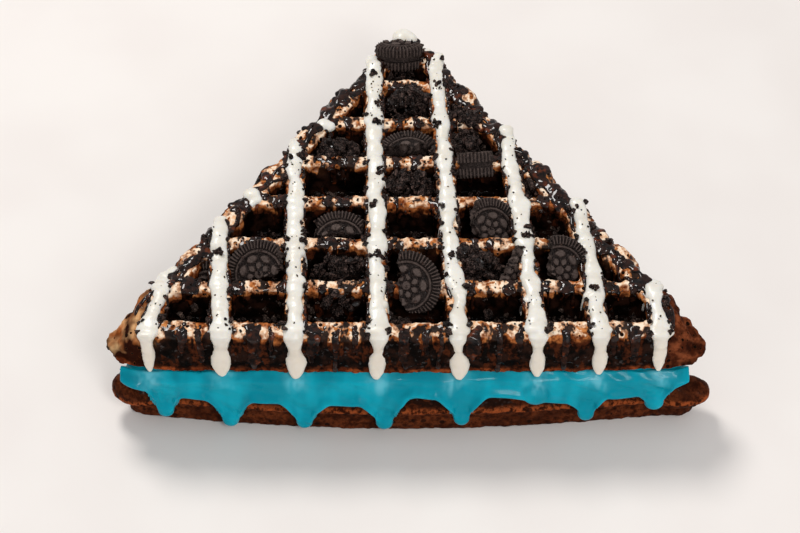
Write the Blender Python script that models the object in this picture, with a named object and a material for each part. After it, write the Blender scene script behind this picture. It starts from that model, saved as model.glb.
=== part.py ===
"""A waffle sandwich cut as a triangle: two deep-pocketed waffles with a soft cream filling that drips
down the front, white drizzle along the ribs, and broken cocoa cookies and crumbs in the pockets.

Metres. X runs along the straight front edge, Y from that edge to the apex, Z up from the table.
"""

import math
import random

import bmesh
import bpy
from mathutils import Matrix, Vector

# The triangle, at the top edge of the upper waffle
HALF_BASE = 0.1012
DEPTH = 0.1576
FRONT_Y = -0.0744
CORNER_RADIUS = 0.0040
ARC_STEPS = 5
FRONT_STEPS = 8

# The grid: cross ribs at an even pitch, long ribs where the iron has them, each leaning a little
ROW_PITCH = 0.0206
FIRST_ROW = 0.0027
ROWS = 8
RIB_X = (-0.0885, -0.0635, -0.0380, -0.0095, 0.0180, 0.0455, 0.0668, 0.0875)
RIB_LEAN = (0.15, -0.06, -0.03, -0.02, -0.045, -0.08, -0.09, -0.05)
CROSS_RIB = 0.0053
LONG_RIB = 0.0066
RIM = 0.0060
UNDER_RIM = 0.0090
LOBE = 0.0017
LOBE_SHIFT = -0.0050
LOBE_STEPS = 3
CORNER_EARS = (0.9, 1.3)
POCKET_DEPTH = 0.0120
UNDER_POCKET_DEPTH = 0.0040
POCKET_CHAMFER = 0.0006
POCKET_FLARE = 0.0012
WALL_TAPER = 0.0018
RIM_SLOPE = 0.15
SMALLEST_POCKET = 0.0050

# Each waffle from its bottom up: height, and how far it stands out at the front, at the slanted sides, and
# more at the two front corners
LOWER_PROFILE = (
    (0.0000, -0.0012, -0.0034, 0.0000),
    (0.0013, 0.0000, -0.0026, 0.0000),
    (0.0095, 0.0003, -0.0022, 0.0004),
    (0.0105, 0.0010, 0.0020, 0.0044),
    (0.0170, -0.0002, 0.0022, 0.0056),
    (0.0185, -0.0018, 0.0004, 0.0042),
)
UPPER_PROFILE = (
    (0.0280, 0.0004, 0.0004, 0.0014),
    (0.0288, 0.0020, 0.0018, 0.0020),
    (0.0297, 0.0026, 0.0022, 0.0022),
    (0.0308, 0.0018, 0.0020, 0.0028),
    (0.0370, 0.0012, 0.0018, 0.0044),
    (0.0440, 0.0002, 0.0012, 0.0036),
    (0.0460, -0.0016, -0.0008, 0.0016),
)
LOWER_TOP = LOWER_PROFILE[-1][0]
LOWER_SEAM_OUT = LOWER_PROFILE[3][1]
UPPER_BOTTOM = UPPER_PROFILE[0][0]
TOP = UPPER_PROFILE[-1][0]
GAP = 0.0003

# The front of the lower waffle is set back at its ends and bows out in its middle
LOWER_SET_BACK = 0.0036
LOWER_BOW = 0.0074

# Cream: how far it swells out, how thick it hangs over the lower waffle, and its lower edge along the front
CREAM_BOTTOM = LOWER_TOP + GAP
CREAM_TOP = UPPER_BOTTOM - GAP
CREAM_TUCK = 0.0040
CREAM_INSET = 0.0013
CREAM_SWELL = (0.0042, 0.0004)
CREAM_THICKNESS = 0.0021
CREAM_LIP = 0.0006
CREAM_ROUND = 0.0020
CREAM_HEM = 0.0008
# Where it swells most and where it turns down: distance from its top and from its bottom, and how much of
# the lower waffle's bow it follows there
CREAM_BULGE = (0.0028, 0.2)
CREAM_WAIST = (0.0020, 0.7)
CREAM_WAIST_SWELL = 0.8
CREAM_EDGE = (
    (-0.0930, 0.0188), (-0.0895, 0.0172), (-0.0720, 0.0170), (-0.0480, 0.0162),
    (-0.0220, 0.0162), (0.0060, 0.0176), (0.0330, 0.0176), (0.0560, 0.0145),
    (0.0760, 0.0170), (0.0900, 0.0172), (0.0932, 0.0188),
)
# Each drip: its middle, the height of its tip, and half its width
CREAM_DRIPS = (
    (-0.0845, 0.0056, 0.0034), (-0.0618, 0.0035, 0.0030), (-0.0356, 0.0044, 0.0030),
    (-0.0075, 0.0048, 0.0030), (0.0196, 0.0067, 0.0031), (0.0453, 0.0144, 0.0030),
    (0.0635, 0.0055, 0.0031), (0.0879, 0.0092, 0.0036),
)
DRIP_COLUMNS = (-2.2, -1.25, -0.85, -0.35, 0.35, 0.85, 1.25, 2.2)
DRIP_ROOT = 1.9
DRIP_ROOT_SHARE = 0.38

# White drizzle: bead radius, how deep it lies in the rib, how far its end hangs over the slanted side and
# its share of the radius there, and its run down the front wall: share of the way down, share of the radius
DRIZZLE_RADIUS = 0.0034
DRIZZLE_SINK = 0.0009
DRIZZLE_STEP = 0.0103
DRIZZLE_BEADS = (0.92, 1.06)
DRIZZLE_END = (0.0068, 0.70)
DRIZZLE_TIP = 0.0290
DRIZZLE_RUN = ((0.10, 1.0), (0.45, 0.70), (0.78, 1.12), (1.0, 0.30))
DRIZZLE_LEAN = 0.0026

# Cookies: a ridged cocoa wafer, or two with cream between them
COOKIE_RADIUS = 0.0124
WAFER = 0.0032
SANDWICH_FILLING = 0.0022
FILLING_INSET = 0.0014
RIDGES = 15
RIDGE_DEPTH = 0.0004
RIM_BAND = 0.0034
RIM_SINK = 0.0006
SEAT_GAP = 0.0004

# Cookie: centre, tilt back from lying flat, lean to the right, wafers, and the breaks. A break takes off
# what lies further than a distance in one direction of the cookie's own face.
COOKIES = {
    "cookie_apex": (
        (-0.0012, 0.0599, 0.0435), 60, 0, 2,
        ((-90, 0.0030), (180, 0.0098), (0, 0.0104)),
    ),
    "cookie_centre": (
        (0.0013, 0.0128, 0.0427), 5, 0, 2,
        ((-90, -0.0044), (-70, -0.0036), (180, 0.0094)),
    ),
    "cookie_upper_right": (
        (0.0273, 0.0002, 0.0475), -12, 0, 2,
        ((-90, -0.0060), (-110, -0.0050), (0, 0.0090)),
    ),
    "cookie_right": (
        (0.0300, -0.0226, 0.0430), 34, 32, 1,
        ((-90, 0.0030), (190, 0.0070), (230, 0.0050)),
    ),
    "cookie_left": (
        (-0.0236, -0.0261, 0.0405), 22, 0, 1,
        ((-90, -0.0030), (180, 0.0086), (0, 0.0088)),
    ),
    "cookie_front_left": (
        (-0.0512, -0.0433, 0.0430), 40, -20, 1,
        ((-90, 0.0010), (-45, 0.0050), (0, 0.0090)),
    ),
    "cookie_front": (
        (0.0001, -0.0521, 0.0470), 43, 2, 1,
        ((180, 0.0022), (215, 0.0040), (-80, 0.0095)),
    ),
    "cookie_front_right": (
        (0.0532, -0.0426, 0.0438), 42, 22, 1,
        ((190, 0.0034), (235, 0.0030), (-90, 0.0060)),
    ),
    "cookie_chunk": (
        (0.0379, -0.0411, 0.0440), 30, 55, 1,
        ((180, 0.0020), (-60, 0.0050), (90, 0.0080)),
    ),
    "cookie_bit_left": (
        (-0.0698, -0.0476, 0.0367), 35, -10, 1,
        ((-90, -0.0062), (180, 0.0035), (0, 0.0040)),
    ),
    "cookie_bit_top": (
        (-0.0445, -0.0054, 0.0374), 30, 10, 1,
        ((-90, -0.0062), (180, 0.0030), (0, 0.0036)),
    ),
}

# Crumbs, and heaps of them: centre, half-widths in x and y, height above the pocket floor, crumbs
CRUMB_SEED = 11
CRUMB_SIZES = (0.0018, 0.0030)
CRUMB_ROUGHNESS = (0.80, 1.18)
HEAPS = (
    ((0.0010, 0.0424), (0.0085, 0.0066), 0.0135, 9),
    ((0.0010, 0.0009), (0.0085, 0.0062), 0.0105, 8),
    ((-0.0245, 0.0189), (0.0092, 0.0062), 0.0120, 9),
    ((0.0245, 0.0399), (0.0070, 0.0062), 0.0130, 7),
    ((0.0245, -0.0396), (0.0080, 0.0060), 0.0130, 8),
    ((-0.0230, -0.0391), (0.0085, 0.0060), 0.0115, 8),
    ((0.0470, 0.0009), (0.0060, 0.0060), 0.0120, 6),
    ((-0.0020, -0.0636), (0.0085, 0.0036), 0.0065, 4),
)
# Crumbs that lie on the ribs: middle, and radius
RIB_CRUMBS = (
    (-0.0229, -0.0506, 0.0032), (-0.0195, -0.0481, 0.0026), (-0.0759, -0.0501, 0.0034),
    (-0.0715, -0.0491, 0.0026), (0.0250, -0.0281, 0.0028), (0.0050, 0.0129, 0.0028),
    (0.0100, 0.0329, 0.0026), (0.0330, -0.0491, 0.0026),
)
HEAP_SPREAD = 0.82
HEAP_SUNK = 0.1
SPIRAL_TURN = math.radians(137.5)

# Edges sharper than this stay sharp where a round piece is shaded smooth
SMOOTH_ANGLE = math.radians(38)


def remove_all_objects():
    for obj in list(bpy.data.objects):
        bpy.data.objects.remove(obj)


def make_collection(name):
    collection = bpy.data.collections.new(name)
    bpy.context.scene.collection.children.link(collection)
    return collection


def remove_collection(collection):
    for obj in list(collection.objects):
        bpy.data.objects.remove(obj)
    bpy.data.collections.remove(collection)


def make_material(name, colour, roughness):
    material = bpy.data.materials.new(name)
    material.use_nodes = True
    shader = material.node_tree.nodes["Principled BSDF"]
    shader.inputs["Base Color"].default_value = (*colour, 1.0)
    shader.inputs["Roughness"].default_value = roughness
    shader.inputs["Metallic"].default_value = 0.0
    material.diffuse_color = (*colour, 1.0)
    return material


def make_object(bm, name, collection, material=None):
    """Stores the bmesh as a named object with its faces pointing out. Without a material it is a cutter."""
    bmesh.ops.recalc_face_normals(bm, faces=bm.faces)
    mesh = bpy.data.meshes.new(name)
    bm.to_mesh(mesh)
    bm.free()
    obj = bpy.data.objects.new(name, mesh)
    collection.objects.link(obj)
    if material:
        mesh.materials.append(material)
    else:
        obj.hide_render = True
        obj.display_type = "WIRE"
    return obj


def shade_round(obj):
    """Shades the round surfaces smooth and leaves the corners sharp."""
    obj.data.shade_smooth()
    obj.data.set_sharp_from_angle(angle=SMOOTH_ANGLE)


def all_geometry(bm):
    return list(bm.verts) + list(bm.edges) + list(bm.faces)


def slice_off(bm, point, normal):
    """Cuts off what lies beyond the plane and closes the cut."""
    bmesh.ops.bisect_plane(bm, geom=all_geometry(bm), plane_co=point, plane_no=normal, clear_outer=True)
    bmesh.ops.holes_fill(bm, edges=[edge for edge in bm.edges if edge.is_boundary])


def stack(bm, levels):
    """Extrudes an outline from level to level. levels holds lists of (x, y, z), bottom first."""
    face = bm.faces.new([bm.verts.new(point) for point in levels[0]])
    for number, level in enumerate(levels[1:]):
        made = bmesh.ops.extrude_face_region(bm, geom=[face])
        if number:
            bmesh.ops.delete(bm, geom=[face], context="FACES_ONLY")
        face = next(item for item in made["geom"] if isinstance(item, bmesh.types.BMFace))
        for vert, point in zip(face.verts, level):
            vert.co = point


def row_y(row):
    """Centre line of a cross rib."""
    return FRONT_Y + FIRST_ROW + row * ROW_PITCH


def rib_x(rib, y):
    """Centre line of a long rib at that depth."""
    return RIB_X[rib] + RIB_LEAN[rib] * (y - FRONT_Y)


def side_lines():
    """The front, right and left sides of the sharp triangle: start, end and outward normal."""
    points = [Vector((-HALF_BASE, FRONT_Y)), Vector((HALF_BASE, FRONT_Y)), Vector((0.0, FRONT_Y + DEPTH))]
    lines = []
    for start, end in zip(points, points[1:] + points[:1]):
        along = (end - start).normalized()
        lines.append((start, end, Vector((along.y, -along.x))))
    return lines


class Station:
    """A place on the outline: a point on the triangle that joins the corner arcs' centres, the way out
    from it, and how much it shares in the front's bow, the lobes of the slanted sides and the round ears
    of the front corners."""

    def __init__(self, base, out, bow=0.0, lobe=0.0, ear=0.0):
        self.base = base
        self.out = out
        self.bow = bow
        self.lobe = lobe
        self.ear = ear
        self.front = max(0.0, -out.y)

    def point(self, front_out, side_out, ear_out=0.0, low=False):
        """Where the wall is when it stands that far out. The lower waffle's wall bows at the front."""
        out = front_out * self.front + side_out * (1 - self.front) + ear_out * self.ear
        place = self.base + self.out * (CORNER_RADIUS + out + LOBE * self.lobe)
        if low:
            share = min(1.0, max(0.0, 1 - (place.y - FRONT_Y) / ROW_PITCH))
            place.y += LOWER_SET_BACK * share - LOWER_BOW * self.bow
        return place


def front_stations(start, end, normal, columns):
    for x in columns:
        share = (x - start.x) / (end.x - start.x)
        yield Station(start.lerp(end, share), normal, bow=math.sin(math.pi * share))


def side_stations(start, end, normal):
    """Points at an even step in y, with a lobe's crest near the end of each cross rib."""
    crest = row_y(0) + LOBE_SHIFT
    places = [crest + k * ROW_PITCH / LOBE_STEPS for k in range(ROWS * LOBE_STEPS)]
    inner = [y for y in places if min(start.y, end.y) < y < max(start.y, end.y)]
    for y in sorted(inner, reverse=start.y > end.y):
        lobe = math.cos(math.tau * (y - crest) / ROW_PITCH)
        yield Station(start.lerp(end, (y - start.y) / (end.y - start.y)), normal, lobe=lobe)


def outline(columns=None):
    """Stations round the triangle, anticlockwise from the left corner. columns are x places at the front."""
    lines = side_lines()
    centres = []
    for number, (start, _, normal) in enumerate(lines):
        before = lines[number - 1][2]
        bisector = (before + normal).normalized()
        centres.append(start - bisector * (CORNER_RADIUS / bisector.dot(normal)))
    stations = []
    for number, (_, _, normal) in enumerate(lines):
        centre, following = centres[number], centres[(number + 1) % 3]
        before = lines[number - 1][2]
        turn = before.angle(normal)
        for place in range(ARC_STEPS + 1):
            share = place / ARC_STEPS
            swing = Matrix.Rotation(-turn * (1 - share), 2)
            ear = CORNER_EARS[number] * math.sin(math.pi * share) if number < 2 else 0.0
            stations.append(Station(centre, swing @ normal, ear=ear))
        if number == 0:
            step = (following.x - centre.x) / FRONT_STEPS
            places = columns or [centre.x + step * count for count in range(1, FRONT_STEPS)]
            stations += front_stations(centre, following, normal, places)
        else:
            stations += side_stations(centre, following, normal)
    return stations


def waffle_slab(name, profile, low, collection, material):
    """A solid triangular slab whose wall follows the profile."""
    stations = outline()
    levels = [[(*station.point(*outs, low), z) for station in stations] for z, *outs in profile]
    bm = bmesh.new()
    stack(bm, levels)
    return make_object(bm, name, collection, material)


def pocket_corner(rib, row, right, back, inset):
    """One corner of the pocket behind cross rib row and right of long rib rib, moved in by inset."""
    y = row_y(row + 1) - CROSS_RIB / 2 - inset if back else row_y(row) + CROSS_RIB / 2 + inset
    half = LONG_RIB / 2 + inset
    return rib_x(rib + 1, y) - half if right else rib_x(rib, y) + half, y


def pocket_block(rib, row, mouth, floor, rim):
    """A tapered block that cuts one pocket with a chamfered mouth, sliced along the slanted sides."""
    up = math.copysign(1.0, mouth - floor)
    bm = bmesh.new()
    cube = bmesh.ops.create_cube(bm, size=2.0)["verts"]
    lid = next(face for face in bm.faces if all(vert.co.z > 0 for vert in face.verts))
    places = [(vert, vert.co.x > 0, vert.co.y > 0, vert.co.z > 0) for vert in cube]
    for vert, right, back, high in places:
        inset = 0.0 if high else WALL_TAPER
        height = mouth - up * POCKET_CHAMFER if high else floor
        vert.co = (*pocket_corner(rib, row, right, back, inset), height)
    corners = [(right, back) for vert in lid.verts for other, right, back, _ in places if other is vert]
    made = bmesh.ops.extrude_face_region(bm, geom=[lid])
    bmesh.ops.delete(bm, geom=[lid], context="FACES_ONLY")
    brim = next(item for item in made["geom"] if isinstance(item, bmesh.types.BMFace))
    for vert, (right, back) in zip(brim.verts, corners):
        vert.co = (*pocket_corner(rib, row, right, back, -POCKET_FLARE), mouth + up * POCKET_CHAMFER)
    for start, _, normal in side_lines()[1:]:
        edge = start - normal * rim
        slice_off(bm, (edge.x, edge.y, mouth), (normal.x, normal.y, -RIM_SLOPE * up))
    return bm


def pocket_is_wide(bm):
    """Whether what the triangle leaves of a pocket is worth cutting."""
    if not bm.verts:
        return False
    wide = max(vert.co.x for vert in bm.verts) - min(vert.co.x for vert in bm.verts)
    deep = max(vert.co.y for vert in bm.verts) - min(vert.co.y for vert in bm.verts)
    return min(wide, deep) > SMALLEST_POCKET + 2 * POCKET_FLARE


def pocket_cutters(mouth, floor, rim, collection):
    for row in range(ROWS - 1):
        for rib in range(len(RIB_X) - 1):
            bm = pocket_block(rib, row, mouth, floor, rim)
            if pocket_is_wide(bm):
                make_object(bm, "pocket", collection)
            else:
                bm.free()


def combine(obj, operation, collection):
    """Cuts the collection's solids from the object, or joins them to it, and removes the collection."""
    modifier = obj.modifiers.new(operation.title(), "BOOLEAN")
    modifier.operation = operation
    modifier.solver = "EXACT"
    modifier.operand_type = "COLLECTION"
    modifier.collection = collection
    graph = bpy.context.evaluated_depsgraph_get()
    mesh = bpy.data.meshes.new_from_object(obj.evaluated_get(graph))
    obj.modifiers.clear()
    obj.data = mesh
    remove_collection(collection)


def keep_largest_body(obj):
    """Drops the loose scraps that the cuts leave."""
    bm = bmesh.new()
    bm.from_mesh(obj.data)
    unseen = set(bm.verts)
    bodies = []
    while unseen:
        body = []
        front = [unseen.pop()]
        while front:
            vert = front.pop()
            body.append(vert)
            near = {edge.other_vert(vert) for edge in vert.link_edges} & unseen
            unseen -= near
            front.extend(near)
        bodies.append(body)
    bodies.sort(key=len)
    bmesh.ops.delete(bm, geom=[vert for body in bodies[:-1] for vert in body], context="VERTS")
    bm.to_mesh(obj.data)
    bm.free()


def cream_edge(x):
    """Height of the cream's lower edge along the front: a gentle line with a finger at each drip."""
    places = [place for place, _ in CREAM_EDGE]
    index = min(max(1, sum(place < x for place in places)), len(places) - 1)
    (left, low), (right, high) = CREAM_EDGE[index - 1:index + 1]
    share = min(1.0, max(0.0, (x - left) / (right - left)))
    edge = low + (high - low) * share
    drop = 0.0
    for middle, tip, half in CREAM_DRIPS:
        away = abs(x - middle) / half
        finger = (1 - DRIP_ROOT_SHARE) * math.exp(-(away**4))
        root = DRIP_ROOT_SHARE * math.exp(-((away / DRIP_ROOT) ** 2))
        drop = max(drop, (edge - tip) * (finger + root))
    return edge - drop


def cream_section(station):
    """The cream's outline from the upper waffle out, down over the lower one, and back under itself."""
    edge = cream_edge(station.base.x) if station.bow > 0 else CREAM_BOTTOM
    swell = CREAM_SWELL[1] + (CREAM_SWELL[0] - CREAM_SWELL[1]) * station.front
    back = LOWER_SEAM_OUT + 2 * GAP if edge < LOWER_TOP else -CREAM_INSET
    back = back * station.front - CREAM_INSET * (1 - station.front)
    face = back + CREAM_THICKNESS

    def at(out, z, low_share):
        high, low = station.point(out, out), station.point(out, out, low=True)
        return (*high.lerp(low, low_share), z)

    return [
        at(-CREAM_TUCK, CREAM_TOP, 0.0),
        at(-CREAM_LIP, CREAM_TOP, 0.0),
        at(swell, CREAM_TOP - CREAM_BULGE[0], CREAM_BULGE[1]),
        at(max(face, swell * CREAM_WAIST_SWELL), CREAM_BOTTOM + CREAM_WAIST[0], CREAM_WAIST[1]),
        at(face, min(edge + CREAM_ROUND, CREAM_BOTTOM + CREAM_ROUND / 2), 1.0),
        at(back + CREAM_THICKNESS / 2, min(edge, CREAM_BOTTOM), 1.0),
        at(back, min(edge + CREAM_HEM, CREAM_BOTTOM), 1.0),
        at(back - GAP / 2, CREAM_BOTTOM, 1.0),
        at(min(back, 0.0) - CREAM_TUCK / 2, CREAM_BOTTOM, 1.0),
    ]


def make_cream(collection, material):
    """The filling, lofted round the triangle through a section at each station."""
    columns = [middle + half * place for middle, _, half in CREAM_DRIPS for place in DRIP_COLUMNS]
    columns = [x for x in columns if abs(x) < CREAM_EDGE[-1][0]]
    bm = bmesh.new()
    rows = [[bm.verts.new(point) for point in cream_section(station)] for station in outline(columns)]
    for row, following in zip(rows, rows[1:] + rows[:1]):
        for a, b, c, d in zip(row, row[1:], following[1:], following):
            bm.faces.new((a, b, c, d))
    for end in (0, -1):
        bm.faces.new([row[end] for row in rows])
    shade_round(make_object(bm, "cream_filling", collection, material))


def rib_end(rib):
    """Depth at which a long rib meets the slanted side."""
    start, _, normal = side_lines()[2 if RIB_X[rib] < 0 else 1]
    across = normal.x * (RIB_X[rib] - start.x) + normal.y * (FRONT_Y - start.y)
    return FRONT_Y - across / (normal.x * RIB_LEAN[rib] + normal.y)


def drizzle_route(rib):
    """Places and bead sizes of one line: up over the slanted edge, along the rib and down the front wall."""
    near = FRONT_Y + DRIZZLE_RADIUS / 2
    far = rib_end(rib)
    back = far - DRIZZLE_RADIUS / 2
    count = max(2, round((back - near) / DRIZZLE_STEP))
    route = [(rib_x(rib, far), far, TOP - DRIZZLE_END[0], DRIZZLE_END[1])]
    for step in range(count + 1):
        y = back + (near - back) * step / count
        route.append((rib_x(rib, y), y, TOP - DRIZZLE_SINK, DRIZZLE_BEADS[step % 2]))
    for share, size in DRIZZLE_RUN:
        y = FRONT_Y - DRIZZLE_LEAN * share
        route.append((rib_x(rib, y), y, TOP + (DRIZZLE_TIP - TOP) * share, size))
    return route


def make_drizzle(rib, collection):
    """A beaded tube along a rib, as a closed mesh."""
    route = drizzle_route(rib)
    curve = bpy.data.curves.new("drizzle", "CURVE")
    curve.dimensions = "3D"
    curve.bevel_depth = DRIZZLE_RADIUS
    curve.bevel_resolution = 1
    curve.use_fill_caps = True
    spline = curve.splines.new("POLY")
    spline.points.add(len(route) - 1)
    for point, (x, y, z, size) in zip(spline.points, route):
        point.co = (x, y, z, 1.0)
        point.radius = size
    line = bpy.data.objects.new("drizzle_line", curve)
    collection.objects.link(line)
    graph = bpy.context.evaluated_depsgraph_get()
    mesh = bpy.data.meshes.new_from_object(line.evaluated_get(graph))
    bpy.data.objects.remove(line)
    bm = bmesh.new()
    bm.from_mesh(mesh)
    bpy.data.meshes.remove(mesh)
    bmesh.ops.remove_doubles(bm, verts=bm.verts, dist=1e-5)
    make_object(bm, "drizzle", collection)


def make_crumb(centre, radius, draw, collection):
    """An angular crumb: a small ball with its corners pushed in and out."""
    bm = bmesh.new()
    bmesh.ops.create_icosphere(bm, subdivisions=1, radius=radius)
    for vert in bm.verts:
        vert.co *= draw.uniform(*CRUMB_ROUGHNESS)
    crumb = make_object(bm, "crumb", collection)
    crumb.location = centre
    crumb.rotation_euler = [draw.uniform(0, math.tau) for _ in range(3)]


def make_heap(heap, draw, collection):
    """A mound that rises from inside the pocket floor, with crumbs set into it along a spiral."""
    (x, y), (half_x, half_y), height, count = heap
    floor = TOP - POCKET_DEPTH
    bm = bmesh.new()
    bmesh.ops.create_icosphere(bm, subdivisions=2, radius=1.0)
    slice_off(bm, (0, 0, -HEAP_SUNK), (0, 0, -1))
    bmesh.ops.scale(bm, vec=(half_x, half_y, height), verts=bm.verts)
    mound = make_object(bm, "heap", collection)
    mound.location = (x, y, floor)
    for number in range(count):
        share = HEAP_SPREAD * math.sqrt((number + 0.5) / count)
        angle = number * SPIRAL_TURN
        rise = height * math.sqrt(1 - share**2)
        beside = half_x * share * math.cos(angle)
        behind = half_y * share * math.sin(angle)
        size = draw.uniform(*CRUMB_SIZES)
        make_crumb((x + beside, y + behind, floor + rise), size, draw, collection)


def cookie_rings(wafers, grow):
    """Heights and radii of a cookie from its lower face up, for its seat without the fine steps."""
    total = WAFER if wafers == 1 else 2 * WAFER + SANDWICH_FILLING
    if grow:
        return [(-total / 2 - grow, COOKIE_RADIUS + grow), (total / 2 + grow, COOKIE_RADIUS + grow)]
    rings = [(-total / 2, COOKIE_RADIUS)]
    if wafers == 2:
        step = SANDWICH_FILLING / 2
        for z, radius in ((-step, 0), (-step, FILLING_INSET), (step, FILLING_INSET), (step, 0)):
            rings.append((z, COOKIE_RADIUS - radius))
    inner = COOKIE_RADIUS - RIM_BAND
    return rings + [(total / 2, COOKIE_RADIUS), (total / 2, inner), (total / 2 - RIM_SINK, inner - RIM_SINK)]


def make_cookie(name, place, collection, material=None, grow=0.0):
    """A broken cookie in its place. With grow it is the seat that leaves a small gap round the cookie."""
    centre, tilt, lean, wafers, breaks = place
    levels = []
    for z, radius in cookie_rings(wafers, grow):
        level = []
        for step in range(2 * RIDGES):
            angle = math.tau * step / (2 * RIDGES)
            reach = radius - (RIDGE_DEPTH if step % 2 and not grow else 0.0)
            level.append((reach * math.cos(angle), reach * math.sin(angle), z))
        levels.append(level)
    bm = bmesh.new()
    stack(bm, levels)
    for direction, distance in breaks:
        normal = Vector((math.cos(math.radians(direction)), math.sin(math.radians(direction)), 0.0))
        slice_off(bm, normal * (distance + grow), normal)
    cookie = make_object(bm, name, collection, material)
    cookie.location = centre
    cookie.rotation_euler = (math.radians(tilt), math.radians(lean), 0.0)
    shade_round(cookie)


def make_lower_waffle(collection, material):
    waffle = waffle_slab("waffle_lower", LOWER_PROFILE, True, collection, material)
    cutters = make_collection("under_pockets")
    pocket_cutters(0.0, UNDER_POCKET_DEPTH, UNDER_RIM, cutters)
    combine(waffle, "DIFFERENCE", cutters)


def make_upper_waffle(collection, material):
    waffle = waffle_slab("waffle_upper", UPPER_PROFILE, False, collection, material)
    cutters = make_collection("pockets")
    pocket_cutters(TOP, TOP - POCKET_DEPTH, RIM, cutters)
    combine(waffle, "DIFFERENCE", cutters)
    toppings = make_collection("toppings")
    for rib in range(len(RIB_X)):
        make_drizzle(rib, toppings)
    draw = random.Random(CRUMB_SEED)
    for heap in HEAPS:
        make_heap(heap, draw, toppings)
    for x, y, radius in RIB_CRUMBS:
        make_crumb((x, y, TOP), radius, draw, toppings)
    combine(waffle, "UNION", toppings)
    seats = make_collection("seats")
    for place in COOKIES.values():
        make_cookie("seat", place, seats, grow=SEAT_GAP)
    combine(waffle, "DIFFERENCE", seats)
    keep_largest_body(waffle)
    shade_round(waffle)


def main():
    remove_all_objects()
    collection = make_collection("waffle_sandwich")
    crust = make_material("waffle_crust", (0.16, 0.07, 0.03), 0.55)
    cream = make_material("blue_cream", (0.02, 0.40, 0.50), 0.25)
    cocoa = make_material("cocoa_cookie", (0.03, 0.022, 0.02), 0.7)
    make_lower_waffle(collection, crust)
    make_cream(collection, cream)
    make_upper_waffle(collection, crust)
    for name, place in COOKIES.items():
        make_cookie(name, place, collection, cocoa)


main()
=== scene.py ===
"""Looks of a triangular waffle sandwich: two dark waffles with deep square pockets, a blue cream filling
that drips down the front, white drizzle on the long ribs, thin chocolate sauce, and broken cocoa cookies
and crumbs in the pockets.

Metres. X runs along the straight front edge, Y from that edge to the apex, Z up from the table. Long tables
are written in millimetres and turned into metres.
"""

import math
import random

import bpy
import numpy as np
from mathutils import Euler, Matrix, Vector, noise
from mathutils.bvhtree import BVHTree


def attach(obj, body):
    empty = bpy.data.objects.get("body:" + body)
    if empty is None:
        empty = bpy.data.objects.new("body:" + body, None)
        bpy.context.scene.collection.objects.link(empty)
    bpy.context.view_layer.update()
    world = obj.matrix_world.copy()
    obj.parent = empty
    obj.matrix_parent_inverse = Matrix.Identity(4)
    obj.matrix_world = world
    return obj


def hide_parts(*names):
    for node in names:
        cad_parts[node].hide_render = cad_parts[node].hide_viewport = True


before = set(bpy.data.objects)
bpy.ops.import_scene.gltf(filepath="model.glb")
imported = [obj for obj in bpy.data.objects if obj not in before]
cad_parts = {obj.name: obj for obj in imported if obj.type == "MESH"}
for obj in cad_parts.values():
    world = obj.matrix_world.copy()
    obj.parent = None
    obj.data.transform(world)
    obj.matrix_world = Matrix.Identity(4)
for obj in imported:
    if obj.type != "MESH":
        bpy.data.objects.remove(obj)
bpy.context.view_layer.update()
MM = 0.001


def metres(lengths):
    """A length, or a table of lengths, from millimetres."""
    if isinstance(lengths, tuple):
        return tuple(metres(length) for length in lengths)
    return round(lengths * MM, 7)


# The wedge, as in the solids
HALF_BASE = 0.1012
DEPTH = 0.1576
FRONT_Y = -0.0744
ROW_PITCH = 0.0206
FIRST_ROW = 0.0027
ROWS = 8
RIB_X = metres((-88.5, -63.5, -38.0, -9.5, 18.0, 45.5, 66.8, 87.5))
RIB_LEAN = (0.15, -0.06, -0.03, -0.02, -0.045, -0.08, -0.09, -0.05)
RIBS = range(len(RIB_X))
CROSS_RIB = 0.0053
LONG_RIB = 0.0066
RIM = 0.0060
UNDER_RIM = 0.0090
POCKET_DEPTH = 0.0120
UNDER_POCKET_DEPTH = 0.0040
# How much narrower a pocket is at its floor, how much wider at its mouth, and how round its edges are
POCKET_TAPER = 0.0018
POCKET_FLARE = 0.0004
POCKET_ROUNDING = 0.0011
SMALLEST_POCKET = 0.0060
# How far a pocket's cutter stands out of its mouth, and how much it leans along the slanted sides
CUTTER_OVERSHOOT = 0.002
RIM_SLOPE = -0.15
TOP = 0.0460
POCKET_FLOOR = TOP - POCKET_DEPTH
UPPER_BOTTOM = 0.0280
LOWER_SET_BACK = 0.0036
LOWER_BOW = 0.0074

# Walls from the bottom up: height, and how far the wall stands out from the sharp triangle
UPPER_WALL = metres((
    (28.1, -0.8), (28.8, 1.8), (29.8, 2.4), (30.8, 1.4), (33.0, 1.3), (42.0, 1.0), (45.0, 0.2), (46.0, -1.2),
))
LOWER_WALL = metres((
    (0.0, -0.4), (0.8, 0.8), (9.0, 0.7), (9.8, 1.8), (11.2, 1.8), (12.0, 0.4), (17.2, -0.4), (18.5, -1.6),
))
# The upper wall between its two rims, and how far it swells between two long ribs
WALL_FOOT = UPPER_BOTTOM + 0.0022
WALL_HEAD = TOP - 0.0008
PILLOW = 0.0013
# How far the upper waffle's front lies back at its two corners, and how much wider its front rim is
UPPER_BOW = 0.0016
FRONT_RIM_EXTRA = 0.0012
CORNER_ROUNDING = 0.0095
CORNER_STEPS = 5
FRONT_CUTS = 31

# Where batter swells out at the rib ends of the slanted sides: middle height, half sizes along the side,
# outwards and up
UPPER_LOBE = metres((39.5, (8.8, 5.8, 7.4)))
LOWER_LOBE = metres((13.8, (8.6, 5.2, 4.6)))
LOBE_INSET = 0.0014
LOBE_SHIFT = -0.0050
# A smaller lobe between two others, as a share of their size
SMALL_LOBE = 0.52
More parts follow.
